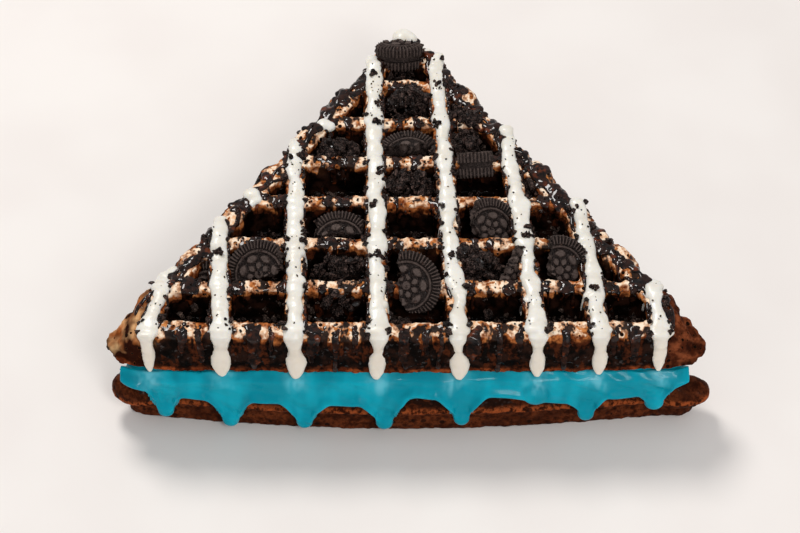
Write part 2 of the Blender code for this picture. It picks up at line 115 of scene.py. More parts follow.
# The round front corners of both waffles: middle and half sizes
UPPER_EARS = metres((
    ((-90.0, -65.5, 36.2), (10.5, 8.6, 8.2)), ((-97.7, -68.0, 33.7), (6.2, 6.4, 5.4)),
    ((-90.5, -65.0, 29.6), (11.2, 9.2, 1.3)), ((90.0, -66.6, 35.8), (9.8, 8.2, 7.8)),
    ((98.5, -69.0, 34.0), (5.6, 5.8, 5.0)), ((96.4, -61.8, 36.5), (3.4, 3.2, 3.2)),
    ((99.0, -65.2, 35.8), (3.2, 3.0, 3.2)), ((92.5, -66.4, 29.5), (10.8, 8.6, 1.3)),
))
LOWER_EARS = metres((
    ((-93.6, -68.2, 11.8), (10.6, 7.6, 6.2)), ((97.0, -69.6, 10.6), (11.0, 6.2, 5.8)),
    ((95.2, -69.4, 4.6), (7.8, 5.6, 4.6)), ((-93.4, -68.0, 10.4), (11.2, 8.2, 1.4)),
    ((96.6, -69.2, 10.0), (11.4, 7.0, 1.4)),
))
# The top sinks towards the two front corners: how far away that starts, and by how much at the corner
CORNER_REACH = 0.0175
CORNER_DROP = 0.0130
# How far the lower rim curls up at the left and at the right corner
CORNER_LIFTS = metres((3.0, 2.0))

# Cream: height, how far it stands out, and how much of the lower waffle's bow it follows
CREAM_FACE = (
    (0.0000, 0.0026, 1.0), (0.0150, 0.0029, 1.0), (0.0252, 0.0035, 0.15), (0.0287, 0.0004, 0.0),
)
CREAM_TOP = UPPER_BOTTOM + 0.0003
CREAM_SHEET = 0.0024
CREAM_COLUMNS, CREAM_ROWS = 420, 36
CREAM_BODY = metres(((18.0, -1.6), (20.0, 0.2), (26.2, 0.2), (28.4, -1.6)))
# The rounded band along the lower edge: how far it stands out, and how far above the edge
CREAM_HEM = 0.0021
CREAM_HEM_RISE = 0.0017
# How deep the funnel over a drip reaches before the finger, and how its sides curve
FUNNEL_SHARE = 0.74
FUNNEL_CURVE = 1.5
# Near its ends the sheet hangs in front of the set-back lower waffle, and follows it only by this share
CREAM_END_SHARE = 0.35
CREAM_ENDS = metres((-99.6, 98.8))
# Where the cream starts to turn round the corners, and how sharply
CREAM_TURN = 0.0925
CREAM_TURN_REACH = 0.0070
CREAM_TURN_DEPTH = 0.0026
# Place and height of the lower edge between the drips
CREAM_LINE = metres((
    (-99.6, 24.0), (-97.5, 23.0), (-94.0, 22.4), (-90.7, 21.2), (-87.0, 19.0), (-80.0, 17.2), (-72.0, 17.0),
    (-48.0, 16.2), (-22.0, 16.3), (6.0, 19.2), (33.0, 19.0), (56.0, 15.6), (76.0, 17.6), (88.5, 18.4),
    (91.0, 20.8), (94.2, 22.4), (97.0, 23.4), (98.8, 24.0),
))
# Each drip: its middle, the height of its tip, half its width, and half the width of its root
CREAM_DRIPS = metres((
    (-84.5, 6.6, 2.9, 6.2), (-61.8, 2.6, 3.0, 8.8), (-35.6, 4.2, 2.9, 9.0), (-7.5, 4.8, 3.0, 9.2),
    (19.6, 6.9, 2.8, 9.4), (45.3, 15.6, 4.4, 6.6), (63.5, 5.8, 2.9, 7.6), (87.2, 10.4, 3.4, 6.4),
))
# Milky places under each tip, where white icing runs into the cream and a painted reflection of the white
# tips
# lies on it: half width, the height they reach, and over what height they fade
MILK_REFLECTION_HALF = 0.0034
MILK_REFLECTION_FOOT = 0.0215
MILK_REFLECTION_FADE = 0.004

# White drizzle: half its width between the cross ribs, how much wider it is on them and on the front rim
# and how far that reaches, its height over the rib, and how deep it sags at most
DRIZZLE_HALF = 0.0028
DRIZZLE_CROSSING, CROSSING_REACH = 0.0007, 0.0042
DRIZZLE_FRONT, RIM_REACH = 0.0009, 0.0040
DRIZZLE_HEIGHT = 0.0016
DRIZZLE_SAG = 0.008
DRIZZLE_STEP = 0.0010
# Where a line runs off the middle of its rib: the place along it, how far that reaches, and by how much
DRIZZLE_DRIFTS = {4: metres((-56.0, 8.0, 1.4)), 6: metres((-37.0, 18.0, 1.8))}
# The run of each line down the front wall: half its width at the rim, at the waist and at the bulb above
# the tip, and how much lower than the usual it ends
DRIZZLE_RUNS = metres((
    (3.4, 2.1, 2.4, -3.4), (3.7, 2.8, 3.7, -1.8), (3.5, 2.4, 3.8, -1.0), (3.4, 2.0, 3.3, -0.8),
    (3.2, 1.7, 3.6, -0.6), (3.3, 2.1, 3.1, -1.8), (3.4, 2.4, 2.9, -2.6), (3.4, 2.4, 2.7, -3.8),
))
# Its profile: height, shares of those three widths, and how far it stands out over the cream
RUN_PROFILE = (
    (0.0278, 0.0, 0.0, 0.42, 0.0026), (0.0286, 0.0, 0.0, 0.58, 0.0022), (0.0300, 0.0, 0.0, 0.84, 0.0014),
    (0.0314, 0.0, 0.0, 0.95, 0.0006), (0.0326, 0.0, 0.0, 1.0, 0.0001), (0.0342, 0.0, 0.0, 1.0, 0.0000),
    (0.0388, 0.0, 1.0, 0.0, 0.0000), (0.0412, 0.0, 1.1, 0.0, 0.0000), (0.0452, 1.0, 0.0, 0.0, 0.0000),
)
RUN_STEP = 0.0008
# Single dabs on the slanted sides: place and size
DRIZZLE_DABS = metres((
    (-55.6, -7.0, 3.4), (-54.0, -9.2, 2.4), (-55.6, -11.5, 1.6), (-30.4, 29.8, 3.0), (-28.4, 29.0, 2.6),
    (-28.2, 26.6, 1.8), (-0.8, 78.6, 4.4), (1.4, 77.6, 3.4), (6.6, 72.0, 1.8), (8.6, 69.2, 1.8),
    (-84.2, -46.0, 3.4), (-81.5, -42.5, 2.8),
))
# Little runs of drizzle into the pockets: rib, place along it in millimetres, and side
DRIZZLE_SPILLS = (
    (2, -35.5, 1), (3, -60.0, 1), (4, -53.0, 1), (5, -58.0, -1), (6, -56.0, -1),
    (4, -24.0, -1), (3, -1.0, 1), (3, 29.0, 1), (6, -42.0, 1), (7, -56.0, -1),
)
SPILL_BLOBS = 7

# Chocolate sauce on the front rim and down its wall: place, half its width, and the height where it ends
SAUCE_RUNS = metres((
    (-77.5, 2.2, 40.0), (-71.2, 1.4, 35.0), (-52.3, 3.0, 32.2), (-45.8, 1.2, 41.5), (-31.5, 2.4, 35.0),
    (-23.9, 1.2, 30.6), (-16.8, 1.4, 41.0), (-0.3, 2.0, 33.0), (7.2, 1.3, 40.0), (11.8, 1.0, 33.0),
    (23.0, 3.0, 36.0), (31.9, 1.3, 30.6), (39.5, 1.6, 41.0), (54.5, 1.8, 32.0), (72.2, 1.4, 39.0),
    (78.8, 2.0, 35.0),
))
SAUCE_HEIGHT = 0.0004
SAUCE_STEP = 0.0009
# Half sizes of the bead at the foot of each run
BEAD = metres((1.2, 1.0, 1.6))
# Dark sauce along both edges of each white line: half its width, the share of the way that it covers, and
# how far below the top it may lie
EDGE_HALF = 0.0010
EDGE_SHARE = 0.56
EDGE_DEPTH = 0.006
# Pools of sauce on the other cross ribs: half the least and the greatest width, and the share of a cell's
# width in which the first and the second pool lie
POOL_HALF = metres((1.3, 2.8))
POOL_SHARES = ((0.18, 0.50), (0.52, 0.84))
POOL_BLOBS = 9
# Strings of sauce along each slanted rim, half their width and how deep they hang, and small pools there
STRINGS = 2
STRING_HALF = 0.0008
STRING_HANG = 0.014
RIM_POOLS = 46
RIM_POOL_BLOBS = 4
RIM_POOL_REACH = 0.0014

COOKIE_RADIUS = 0.0124
WAFER = 0.0032
SANDWICH_FILLING = 0.0022
RIDGES = 56
PETALS = 7
WAFER_RINGS = 28
RELIEF = 0.00036
# Cookies, where their solids lie: centre in millimetres, tilt back, lean to the right, wafers, and the
# breaks. A break takes off what lies further than a distance in millimetres in one direction of the
# cookie's own face. The first and the third are turned, to show their ridged edges.
COOKIES = {
    "cookie_apex": (
        (-2.2, 73.4, 44.8), -20, 0, 2, ((90, -2.0), (52, 1.4), (128, 1.4), (180, 8.8), (0, 8.6))),
    "cookie_centre": ((1.3, 12.8, 42.7), 5, 0, 2, ((-90, -4.4), (-70, -3.6), (180, 9.4))),
    "cookie_upper_right": ((26.1, 15.5, 39.7), -42, -5, 2, ((90, -5.2), (180, 6.2), (0, 6.0))),
    "cookie_right": ((30.0, -22.6, 43.0), 34, 32, 1, ((-90, 3.0), (190, 7.0), (230, 5.0))),
    "cookie_left": ((-23.6, -26.1, 40.5), 22, 0, 1, ((-90, -3.0), (180, 8.6), (0, 8.8))),
    "cookie_front_left": ((-51.2, -43.3, 43.0), 40, -20, 1, ((-90, 1.0), (-45, 5.0), (0, 9.0))),
    "cookie_front": ((0.1, -52.1, 47.0), 43, 2, 1, ((180, 2.2), (215, 4.0), (-80, 9.5))),
    "cookie_front_right": ((53.6, -42.6, 44.6), 42, 22, 1, ((190, 3.4), (235, 3.0), (-90, 6.0))),
    "cookie_chunk": ((37.9, -41.1, 44.0), 30, 55, 1, ((180, 2.0), (-60, 5.0), (90, 8.0))),
    "cookie_bit_left": ((-69.8, -47.6, 36.7), 35, -10, 1, ((-90, -6.2), (180, 3.5), (0, 4.0))),
    "cookie_bit_top": ((-44.5, -5.4, 37.4), 30, 10, 1, ((-90, -6.2), (180, 3.0), (0, 3.6))),
}

# Crumb heaps in the pockets: middle, half sizes and height over the pocket floor in millimetres, and crumbs
HEAPS = (
    (-1.0, 62.0, 6.6, 6.0, 9.5, 50), (1.4, 43.8, 8.8, 8.0, 15.8, 150), (1.4, 2.6, 9.2, 7.4, 13.2, 130),
    (-25.5, 17.2, 10.0, 8.4, 14.2, 150), (21.5, 22.2, 7.2, 7.2, 13.8, 110), (22.5, 32.8, 7.6, 6.0, 16.0, 110),
    (19.5, 40.0, 4.6, 5.6, 13.0, 60), (24.8, -37.8, 9.0, 7.6, 14.8, 130), (-23.0, -39.1, 9.5, 6.4, 12.0, 120),
    (47.0, 0.9, 6.4, 6.4, 12.0, 80), (-2.0, -63.6, 9.0, 4.0, 6.5, 50), (-22.9, -52.0, 7.0, 5.0, 13.0, 60),
    (-74.5, -50.0, 6.0, 4.0, 12.0, 36), (-24.0, 39.0, 5.0, 6.0, 8.0, 36), (1.0, 21.0, 9.0, 6.0, 9.0, 60),
)
# Every so many places of a heap holds a larger chunk, and so do some places of every pocket floor
CHUNK_SHARE = 6
CHUNK_SIZE = metres((1.4, 3.0))
FLOOR_CHUNKS = 3
FLOOR_CHUNK_SIZE = metres((1.0, 2.2))
# Crumbs that lie in clumps on the floor of every pocket: clumps, crumbs in each, and how far they spread
POCKET_CLUMPS = 5
CLUMP_CRUMBS = 9
CLUMP_REACH = 0.0024
# Clusters of crumbs over the edges of the white lines: middle and reach
LINE_CLUSTERS = metres((
    (-9.6, -37.1, 2.2), (18.0, -38.2, 2.6), (-9.8, 39.9, 1.8), (12.8, 49.9, 2.8), (11.2, 28.0, 1.8),
    (-10.0, 29.1, 1.8), (35.0, 23.2, 2.2), (12.0, -14.0, 1.6), (-8.8, 3.8, 1.8), (-36.2, -30.8, 1.4),
    (-66.0, -36.0, 1.8), (42.5, -29.0, 1.6), (71.8, -29.0, 1.6), (-12.0, -13.5, 1.4), (65.5, -54.0, 1.4),
    (-38.5, 12.0, 1.6), (60.0, -16.0, 2.0), (-80.0, -59.0, 1.4), (-12.0, 56.0, 1.4), (40.0, -60.0, 1.2),
))
CLUSTER_CRUMBS = 9
# Spacing of crumbs along each edge of a white line, and of specks along its middle
EDGE_CRUMB_STEP = 0.0034
SPECK_STEP = 0.0042
FINE_CRUMBS = 1900
# Anything lying on the ribs is at most this far below their tops
RIB_ROUNDING = 0.004
# Crumb sizes in millimetres: in heaps, in clumps, along the lines, strewn all over, and specks on the lines
HEAP_SIZES = (0.7, 0.9, 1.2, 1.7)
CLUMP_SIZES = (0.6, 0.8, 1.0, 1.4)
EDGE_SIZES = (0.6, 0.8, 1.0, 1.2, 1.6)
FINE_SIZES = (0.30, 0.40, 0.55, 0.75)
SPECK_SIZES = (0.25, 0.35, 0.5)

# Voxels with which the soft surfaces are made one
UPPER_VOXEL = 0.00066
LOWER_VOXEL = 0.00072
CREAM_VOXEL = 0.00055
DRIZZLE_VOXEL = 0.00046
SAUCE_VOXEL = 0.00042

# Cocoa biscuit: size of its grain in millimetres, its dark tone (also painted shade in the hollows of the
# grain), its light tone, and the share that is wet
COCOA = {
    "cocoa_cookie": (0.6, (46, 36, 32), (76, 63, 58), 0.10),
    "cocoa_chunk": (0.7, (13, 6, 4), (120, 96, 88), 0.26),
    "cocoa_crumb": (0.7, (9, 3, 2), (118, 92, 83), 0.38),
    # A paler copy of the crumb for the pockets: painted light against the shade that falls there
    "pocket_crumb": (0.7, (44, 33, 28), (158, 132, 118), 0.20),
}

# Camera: fitted to the photograph
CAMERA_PLACE = (-0.0020, -0.5716, 0.6216)
CAMERA_PITCH = 42.61
CAMERA_LENS = 100.2
SENSOR_WIDTH = 36.0

# Area lights: place, what they point at, size, power and tint
LIGHTS = (
    ((-0.32, 0.52, 1.00), (0, 0, 0.02), 0.36, 7.4, (1.0, 0.98, 0.95)),
    ((0.40, -0.80, 0.55), (0, 0, 0.02), 0.80, 1.2, (1.0, 1.0, 1.0)),
    ((0.20, -0.62, 0.66), (0, 0, 0.03), 0.24, 1.9, (1.0, 1.0, 1.0)),
)
DAYLIGHT = (0.96, 0.97, 1.0, 1.0)
DAYLIGHT_STRENGTH = 0.43
FLOOR_SIZE = 6.0
FLOOR_DROP = 0.0002


# ---------------------------------------------------------------- modelling helpers

def deselect():
    for obj in list(bpy.context.selected_objects):
        obj.select_set(False)


def pick(obj):
    """Makes this the one selected and active object."""
    deselect()
    obj.select_set(True)
    bpy.context.view_layer.objects.active = obj


def edit_all():
    """Starts editing with everything selected."""
    bpy.ops.object.mode_set(mode="EDIT")
    bpy.ops.mesh.select_all(action="SELECT")


def end_edit():
    """Turns all faces outwards and stops editing."""
    bpy.ops.mesh.select_all(action="SELECT")
    bpy.ops.mesh.normals_make_consistent(inside=False)
    bpy.ops.object.mode_set(mode="OBJECT")


def apply_place(obj):
    """Puts the object's place, turn and scale into its mesh."""
    pick(obj)
    bpy.ops.object.transform_apply(location=True, rotation=True, scale=True)


def join(objects, name):
    pick(objects[0])
    for obj in objects[1:]:
        obj.select_set(True)
    if len(objects) > 1:
        bpy.ops.object.join()
    objects[0].name = name
    return objects[0]


def finish_surface(obj, *steps):
    """Applies modifiers one after another. A step is a kind of modifier and its settings."""
    pick(obj)
    for kind, settings in steps:
        modifier = obj.modifiers.new("step", kind)
        for key, value in settings.items():
            setattr(modifier, key, value)
        bpy.ops.object.modifier_apply(modifier=modifier.name)
    bpy.ops.object.shade_smooth()
    return obj


def remesh(voxel):
    return "REMESH", {"mode": "VOXEL", "voxel_size": voxel, "use_smooth_shade": True}


def smooth(factor, rounds):
    return "SMOOTH", {"factor": factor, "iterations": rounds}


def thin_out(ratio):
    return "DECIMATE", {"ratio": ratio}


def lumps(size, strength):
    """Pushes the surface in and out by cloud noise with features of that size."""
    texture = bpy.data.textures.new("lumps", "CLOUDS")
    texture.noise_scale = size
    texture.noise_depth = 2
    return "DISPLACE", {"texture": texture, "strength": strength, "mid_level": 0.5}


def shape_arrays(obj):
    """Corner points and triangles of an object that is then removed."""
    mesh = obj.data
    mesh.calc_loop_triangles()
    points = np.array([vert.co for vert in mesh.vertices])
    faces = np.array([tri.vertices[:] for tri in mesh.loop_triangles])
    bpy.data.objects.remove(obj)
    return points, faces


def add_ball(detail):
    deselect()
    bpy.ops.mesh.primitive_ico_sphere_add(subdivisions=detail, radius=1.0)
    return bpy.context.object


def copies(name, shapes, placings):
    """One mesh of many copies. A placing is the number of a shape and the matrix that puts it in place."""
    points, faces, count = [], [], 0
    for number, matrix in placings:
        shape_points, shape_faces = shapes[number]
        turn = np.array(matrix)
        points.append(shape_points @ turn[:3, :3].T + turn[:3, 3])
        faces.append(shape_faces + count)
        count += len(shape_points)
    mesh = bpy.data.meshes.new(name)
    mesh.from_pydata(np.concatenate(points).tolist(), [], np.concatenate(faces).tolist())
    obj = bpy.data.objects.new(name, mesh)
    bpy.context.scene.collection.objects.link(obj)
    return obj


def balls(name, detail, placings):
    return copies(name, [shape_arrays(add_ball(detail))], placings)


def placing(centre, sizes, turn=None):
    matrix = Matrix.Translation(centre) @ (turn.to_matrix().to_4x4() if turn else Matrix.Identity(4))
    return 0, matrix @ Matrix.Diagonal((*sizes, 1.0))


def surface_of(*objects):
    """A search tree over the surfaces of some pieces."""
    points, faces = [], []
    for obj in objects:
        start = len(points)
        points += [vert.co.copy() for vert in obj.data.vertices]
        faces += [[start + index for index in face.vertices] for face in obj.data.polygons]
    return BVHTree.FromPolygons(points, faces)


def height_at(surface, x, y, depth=TOP):
    """Height of the surface seen from above, or None if it isn't there or lies deeper under the top."""
    hit = surface.ray_cast(Vector((x, y, 0.2)), Vector((0, 0, -1)))[0]
    return hit.z if hit is not None and hit.z > TOP - depth else None


def front_at(surface, x, z):
    """Depth of the surface seen from the front, or None."""
    hit = surface.ray_cast(Vector((x, -0.3, z)), Vector((0, 1, 0)))[0]
    return hit.y if hit is not None else None


def wave(place, size, seed):
    """Smooth noise from about -1 to 1 along a line, with bends of that size."""
    return noise.noise(Vector((place / size, seed * 7.31, seed * 3.17))) * 1.6


def bell(away, reach):
    """1 at no distance, and almost 0 at twice the reach."""
    return math.exp(-((away / reach) ** 2))


def clamp(value, low=0.0, high=1.0):
    return min(high, max(low, value))


def between(table, place):
    """Reads a table of rows that begin with their place, smoothly between its rows."""
    if place <= table[0][0]:
        return table[0][1:]
    for before, after in zip(table, table[1:]):
        if place <= after[0]:
            share = (place - before[0]) / (after[0] - before[0])
            share = share * share * (3 - 2 * share)
            return [a + (b - a) * share for a, b in zip(before[1:], after[1:])]
    return table[-1][1:]


# ---------------------------------------------------------------- the grid of the iron

def row_y(row):
    return FRONT_Y + FIRST_ROW + row * ROW_PITCH


def rib_x(rib, y):
    return RIB_X[rib] + RIB_LEAN[rib] * (y - FRONT_Y)


def cells():
    """The cross rib in front of every pocket, and the long rib on its left."""
    return [(row, rib) for row in range(ROWS - 1) for rib in RIBS[:-1]]


def slanted_sides():
    """The right and left sides of the triangle: a point on each and its outward normal."""
    length = math.hypot(HALF_BASE, DEPTH)
    normal = Vector((DEPTH / length, HALF_BASE / length))
    return (
        (Vector((HALF_BASE, FRONT_Y)), normal),
        (Vector((-HALF_BASE, FRONT_Y)), Vector((-normal.x, normal.y))),
    )


def inside_wedge(x, y, margin):
    if y < FRONT_Y + margin:
        return False
    spot = Vector((x, y))
    return all((spot - start).dot(normal) < -margin for start, normal in slanted_sides())


def rib_end(rib):
    """Depth at which a long rib meets the slanted side."""
    start, normal = slanted_sides()[1 if RIB_X[rib] < 0 else 0]
    across = normal.x * (RIB_X[rib] - start.x) + normal.y * (FRONT_Y - start.y)
    return FRONT_Y - across / (normal.x * RIB_LEAN[rib] + normal.y)


def pocket_corner(rib, row, right, back, inset):
    y = row_y(row + 1) - CROSS_RIB / 2 - inset if back else row_y(row) + CROSS_RIB / 2 + inset
    if row == 0 and not back:
        y += FRONT_RIM_EXTRA
    half = LONG_RIB / 2 + inset
    return rib_x(rib + 1, y) - half if right else rib_x(rib, y) + half, y


def add_pockets(mouth, floor, rim):
    """Cutters for every pocket: cubes pulled to the grid and sliced along the slanted sides."""
    overshoot = math.copysign(CUTTER_OVERSHOOT, mouth - floor)
    cutters = []
    for row, rib in cells():
        deselect()
        bpy.ops.mesh.primitive_cube_add(size=2.0)
        cutter = bpy.context.object
        for vert in cutter.data.vertices:
            right, back, high = vert.co.x > 0, vert.co.y > 0, vert.co.z > 0
            corner = pocket_corner(rib, row, right, back, -POCKET_FLARE if high else POCKET_TAPER)
            vert.co = (*corner, mouth + overshoot if high else floor)
        for start, normal in slanted_sides():
            edge = start - normal * rim
            edit_all()
            bpy.ops.mesh.bisect(
                plane_co=(edge.x, edge.y, mouth), plane_no=(normal.x, normal.y, RIM_SLOPE),
                use_fill=True, clear_outer=True,
            )
        bpy.ops.object.mode_set(mode="OBJECT")
        if cutter.data.vertices and min(cutter.dimensions[:2]) > SMALLEST_POCKET:
            cutters.append(cutter)
        else:
            bpy.data.objects.remove(cutter)
    joined = join(cutters, "pockets")
    edit_all()
    end_edit()
    bevel = {"width": POCKET_ROUNDING, "segments": 2, "limit_method": "ANGLE"}
    return finish_surface(joined, ("BEVEL", bevel))


# ---------------------------------------------------------------- waffles

def raise_wedge(name, wall, bow):
    """The triangle as a solid: a three-sided disc with round corners, drawn up from level to level."""
    radius = HALF_BASE / math.sin(math.radians(60))
    squash = DEPTH / (1.5 * radius)
    inner = HALF_BASE * DEPTH / (HALF_BASE + math.hypot(HALF_BASE, DEPTH))
    middle = Vector((0, FRONT_Y + inner, 0))
    deselect()
    bpy.ops.mesh.primitive_circle_add(
        vertices=3, radius=radius, fill_type="NGON", location=(0, FRONT_Y + radius * squash / 2, wall[0][0]),
    )
    wedge = bpy.context.object
    wedge.name = name
    wedge.scale.y = squash
    apply_place(wedge)
    edit_all()
    bpy.ops.mesh.bevel(offset=CORNER_ROUNDING, segments=CORNER_STEPS, affect="VERTICES")
    bpy.ops.object.mode_set(mode="OBJECT")
    front = min(vert.co.y for vert in wedge.data.vertices)
    for edge in wedge.data.edges:
        first, second = (wedge.data.vertices[index].co for index in edge.vertices)
        at_front = max(first.y, second.y) < front + 0.1 * MM
        edge.select = at_front and abs(first.x - second.x) > CORNER_ROUNDING
    for face in wedge.data.polygons:
        face.select = False
    bpy.ops.object.mode_set(mode="EDIT")
    bpy.ops.mesh.select_mode(type="EDGE")
    bpy.ops.mesh.subdivide(number_cuts=FRONT_CUTS)
    bpy.ops.mesh.select_mode(type="FACE")
    bpy.ops.mesh.select_all(action="SELECT")
    share = 1 + wall[0][1] / inner
    bpy.ops.transform.resize(value=(share, share, 1), center_override=middle)
    for (low, low_out), (high, high_out) in zip(wall, wall[1:]):
        bpy.ops.mesh.extrude_region_move(TRANSFORM_OT_translate={"value": (0, 0, high - low)})
        share = (inner + high_out) / (inner + low_out)
        bpy.ops.transform.resize(value=(share, share, 1), center_override=middle)
    end_edit()
    if bow:
        for vert in wedge.data.vertices:
            vert.co.y += front_shift(vert.co.x, vert.co.y)
    return wedge


def front_shift(x, y):
    """How far the lower waffle's front lies back from the upper one's, and bows out in the middle."""
    bow = math.sin(math.pi * clamp((x + HALF_BASE) / (2 * HALF_BASE)))
    return clamp(1 - (y - FRONT_Y) / ROW_PITCH) * (LOWER_SET_BACK - LOWER_BOW * bow)


def upper_shift(x, y):
    """How far the upper waffle's front lies back towards its two corners."""
    return UPPER_BOW * (x / HALF_BASE) ** 2 * clamp(1 - (y - FRONT_Y) / ROW_PITCH)


def add_lobes(lobe, ears, seed):
    """The swollen rib ends of the slanted sides and the round front corners."""
    height, sizes = lobe
    draw = random.Random(seed)
    placings = [placing(centre, half_sizes) for centre, half_sizes in ears]
    for start, normal in slanted_sides():
        turn = Euler((0, 0, math.atan2(normal.y, normal.x) - math.pi / 2))
        for row in range(1, ROWS):
            y = row_y(row) + LOBE_SHIFT + draw.uniform(-1, 1) * MM
            x = start.x - (y - start.y) * normal.y / normal.x
            z = height + draw.uniform(-0.6, 0.6) * MM
            centre = Vector((x - normal.x * LOBE_INSET, y - normal.y * LOBE_INSET, z))
            spread = [size * draw.uniform(0.88, 1.12) for size in sizes]
            placings.append(placing(centre, spread, turn))
            away = math.copysign(ROW_PITCH * draw.uniform(0.50, 0.62), normal.x)
            between_lobes = centre + Vector((-normal.y, normal.x, 0)) * away + Vector((0, 0, sizes[2] * 0.4))
            spread = [size * SMALL_LOBE * draw.uniform(0.8, 1.2) for size in sizes]
            placings.append(placing(between_lobes, spread, turn))
    return balls("lobes", 4, placings)


def sink_corners(crust):
    """Lets the top of the upper waffle sink towards the two front corners, where its rim curls up."""
    for vert in crust.data.vertices:
        away = math.hypot(abs(vert.co.x) - HALF_BASE, vert.co.y - FRONT_Y)
        if away < CORNER_REACH:
            share = 1 - away / CORNER_REACH
            if vert.co.z > WALL_FOOT:
                sunk = 1 - CORNER_DROP * share ** 1.6 / (TOP - WALL_FOOT)
                vert.co.z = WALL_FOOT + (vert.co.z - WALL_FOOT) * sunk
            lift = CORNER_LIFTS[vert.co.x > 0] * share
            vert.co.z += lift * (1 - (vert.co.z - UPPER_BOTTOM) / (TOP - UPPER_BOTTOM))
        vert.co.y += upper_shift(vert.co.x, vert.co.y)


def swell_front(crust):
    """Lets the front wall swell between the long ribs, like a row of small pillows."""
    edges = [rib_x(rib, FRONT_Y) for rib in RIBS]
    low, high = WALL_FOOT, WALL_HEAD
    for vert in crust.data.vertices:
        x, y, z = vert.co
        if y > FRONT_Y + 0.0012 or not low < z < high:
            continue
        rise = math.sin(math.pi * (z - low) / (high - low)) ** 0.7
        for left, right in zip(edges, edges[1:]):
            if left < x < right:
                swell = math.sin(math.pi * (x - left) / (right - left)) ** 0.5 - 0.35
                vert.co.y -= PILLOW * rise * swell


def rough_slab(name, wall, bow, pockets, lobe, ears, seed):
    """A wedge with its pockets cut out and its lobes added."""
    slab = raise_wedge(name, wall, bow)
    cutters = add_pockets(*pockets)
    finish_surface(slab, ("BOOLEAN", {"operation": "DIFFERENCE", "object": cutters}))
    bpy.data.objects.remove(cutters)
    return join([slab, add_lobes(lobe, ears, seed)], name)


def make_upper_crust():
    crust = rough_slab("upper_crust", UPPER_WALL, False, (TOP, POCKET_FLOOR, RIM), UPPER_LOBE, UPPER_EARS, 3)
    finish_surface(crust, remesh(UPPER_VOXEL), smooth(0.6, 3))
    swell_front(crust)
    sink_corners(crust)
    return finish_surface(
        crust, lumps(0.0085, 0.0018), lumps(0.0028, 0.0013), lumps(0.0012, 0.0006), thin_out(0.60),
    )


def make_lower_crust():
    pockets = (0.0, UNDER_POCKET_DEPTH, UNDER_RIM)
    crust = rough_slab("lower_crust", LOWER_WALL, True, pockets, LOWER_LOBE, LOWER_EARS, 5)
    finish_surface(
        crust, remesh(LOWER_VOXEL), smooth(0.5, 2),
        lumps(0.0080, 0.0009), lumps(0.0022, 0.0007), thin_out(0.50),
    )
    for vert in crust.data.vertices:
        vert.co.z = max(0.0, vert.co.z)
    return crust


# ---------------------------------------------------------------- cream

def cream_hem(x):
    """Height of the cream's lower edge: a gentle line with a funnel and a finger at each drip."""
    edge = between(CREAM_LINE, x)[0]
    drop = 0.0
    for middle, tip, half, root in CREAM_DRIPS:
        away = abs(x - middle)
        fall = edge - tip - half
        if away < half:
            drop = max(drop, fall)
        elif away < root:
            drop = max(drop, fall * FUNNEL_SHARE * ((root - away) / (root - half)) ** FUNNEL_CURVE)
    return edge - drop


def cream_front(x, z):
    out, follow = between(CREAM_FACE, z)
    shift = front_shift(x, FRONT_Y)
    turn = CREAM_TURN_DEPTH * (max(0.0, abs(x) - CREAM_TURN) / CREAM_TURN_REACH) ** 2
    return FRONT_Y - out + turn + follow * (shift * CREAM_END_SHARE if shift > 0 else shift)


def make_cream():
    """A sheet that hangs down the front, drops at the tips, and the filling behind it."""
    deselect()
    bpy.ops.mesh.primitive_grid_add(x_subdivisions=CREAM_COLUMNS, y_subdivisions=CREAM_ROWS, size=1.0)
    sheet = bpy.context.object
    for vert in sheet.data.vertices:
        x = CREAM_ENDS[0] + (CREAM_ENDS[1] - CREAM_ENDS[0]) * (vert.co.x + 0.5)
        z = CREAM_TOP + (cream_hem(x) - CREAM_TOP) * (0.5 - vert.co.y)
        swell = 0.0006 * wave(x, 0.014, 2) + 0.0004 * wave(x + 2 * z, 0.006, 3)
        hem = CREAM_HEM * bell(z - cream_hem(x) - CREAM_HEM_RISE, CREAM_HEM_RISE)
        vert.co = (x, cream_front(x, z) - swell - hem, z)
    finish_surface(sheet, ("SOLIDIFY", {"thickness": CREAM_SHEET, "offset": -1.0}))
    drops = []
    for middle, tip, half, _ in CREAM_DRIPS:
        centre = Vector((middle, cream_front(middle, tip + half) - 0.0002, tip + half * 1.02))
        drops.append(placing(centre, (half * 1.06, 0.0026, half * 1.08)))
    body = raise_wedge("cream_body", CREAM_BODY, bow=False)
    cream = join([sheet, body, balls("drops", 3, drops)], "cream")
    finish_surface(cream, remesh(CREAM_VOXEL), smooth(0.5, 5), thin_out(0.50))
    # Milky streaks under the tips: icing run into the cream, and a painted reflection of the white tips
    milk = cream.data.attributes.new("milk", "FLOAT", "POINT")
    for vert, share in zip(cream.data.vertices, milk.data):
        x, y, z = vert.co
        if y < FRONT_Y and z > MILK_REFLECTION_FOOT - MILK_REFLECTION_FADE:
            away = min(abs(x - rib_x(rib, FRONT_Y) - 0.0008 * wave(z, 0.006, rib)) for rib in RIBS)
            foot = MILK_REFLECTION_FOOT + 0.003 * wave(x, 0.006, 71)
            share.value = bell(away, MILK_REFLECTION_HALF) * clamp((z - foot) / MILK_REFLECTION_FADE)
    return cream


# ---------------------------------------------------------------- drizzle and sauce

def line_x(rib, y):
    """Where the white line lies on a long rib."""
    middle, reach, amount = DRIZZLE_DRIFTS.get(rib, (0.0, 1.0, 0.0))
    return rib_x(rib, y) + amount * bell(y - middle, reach)


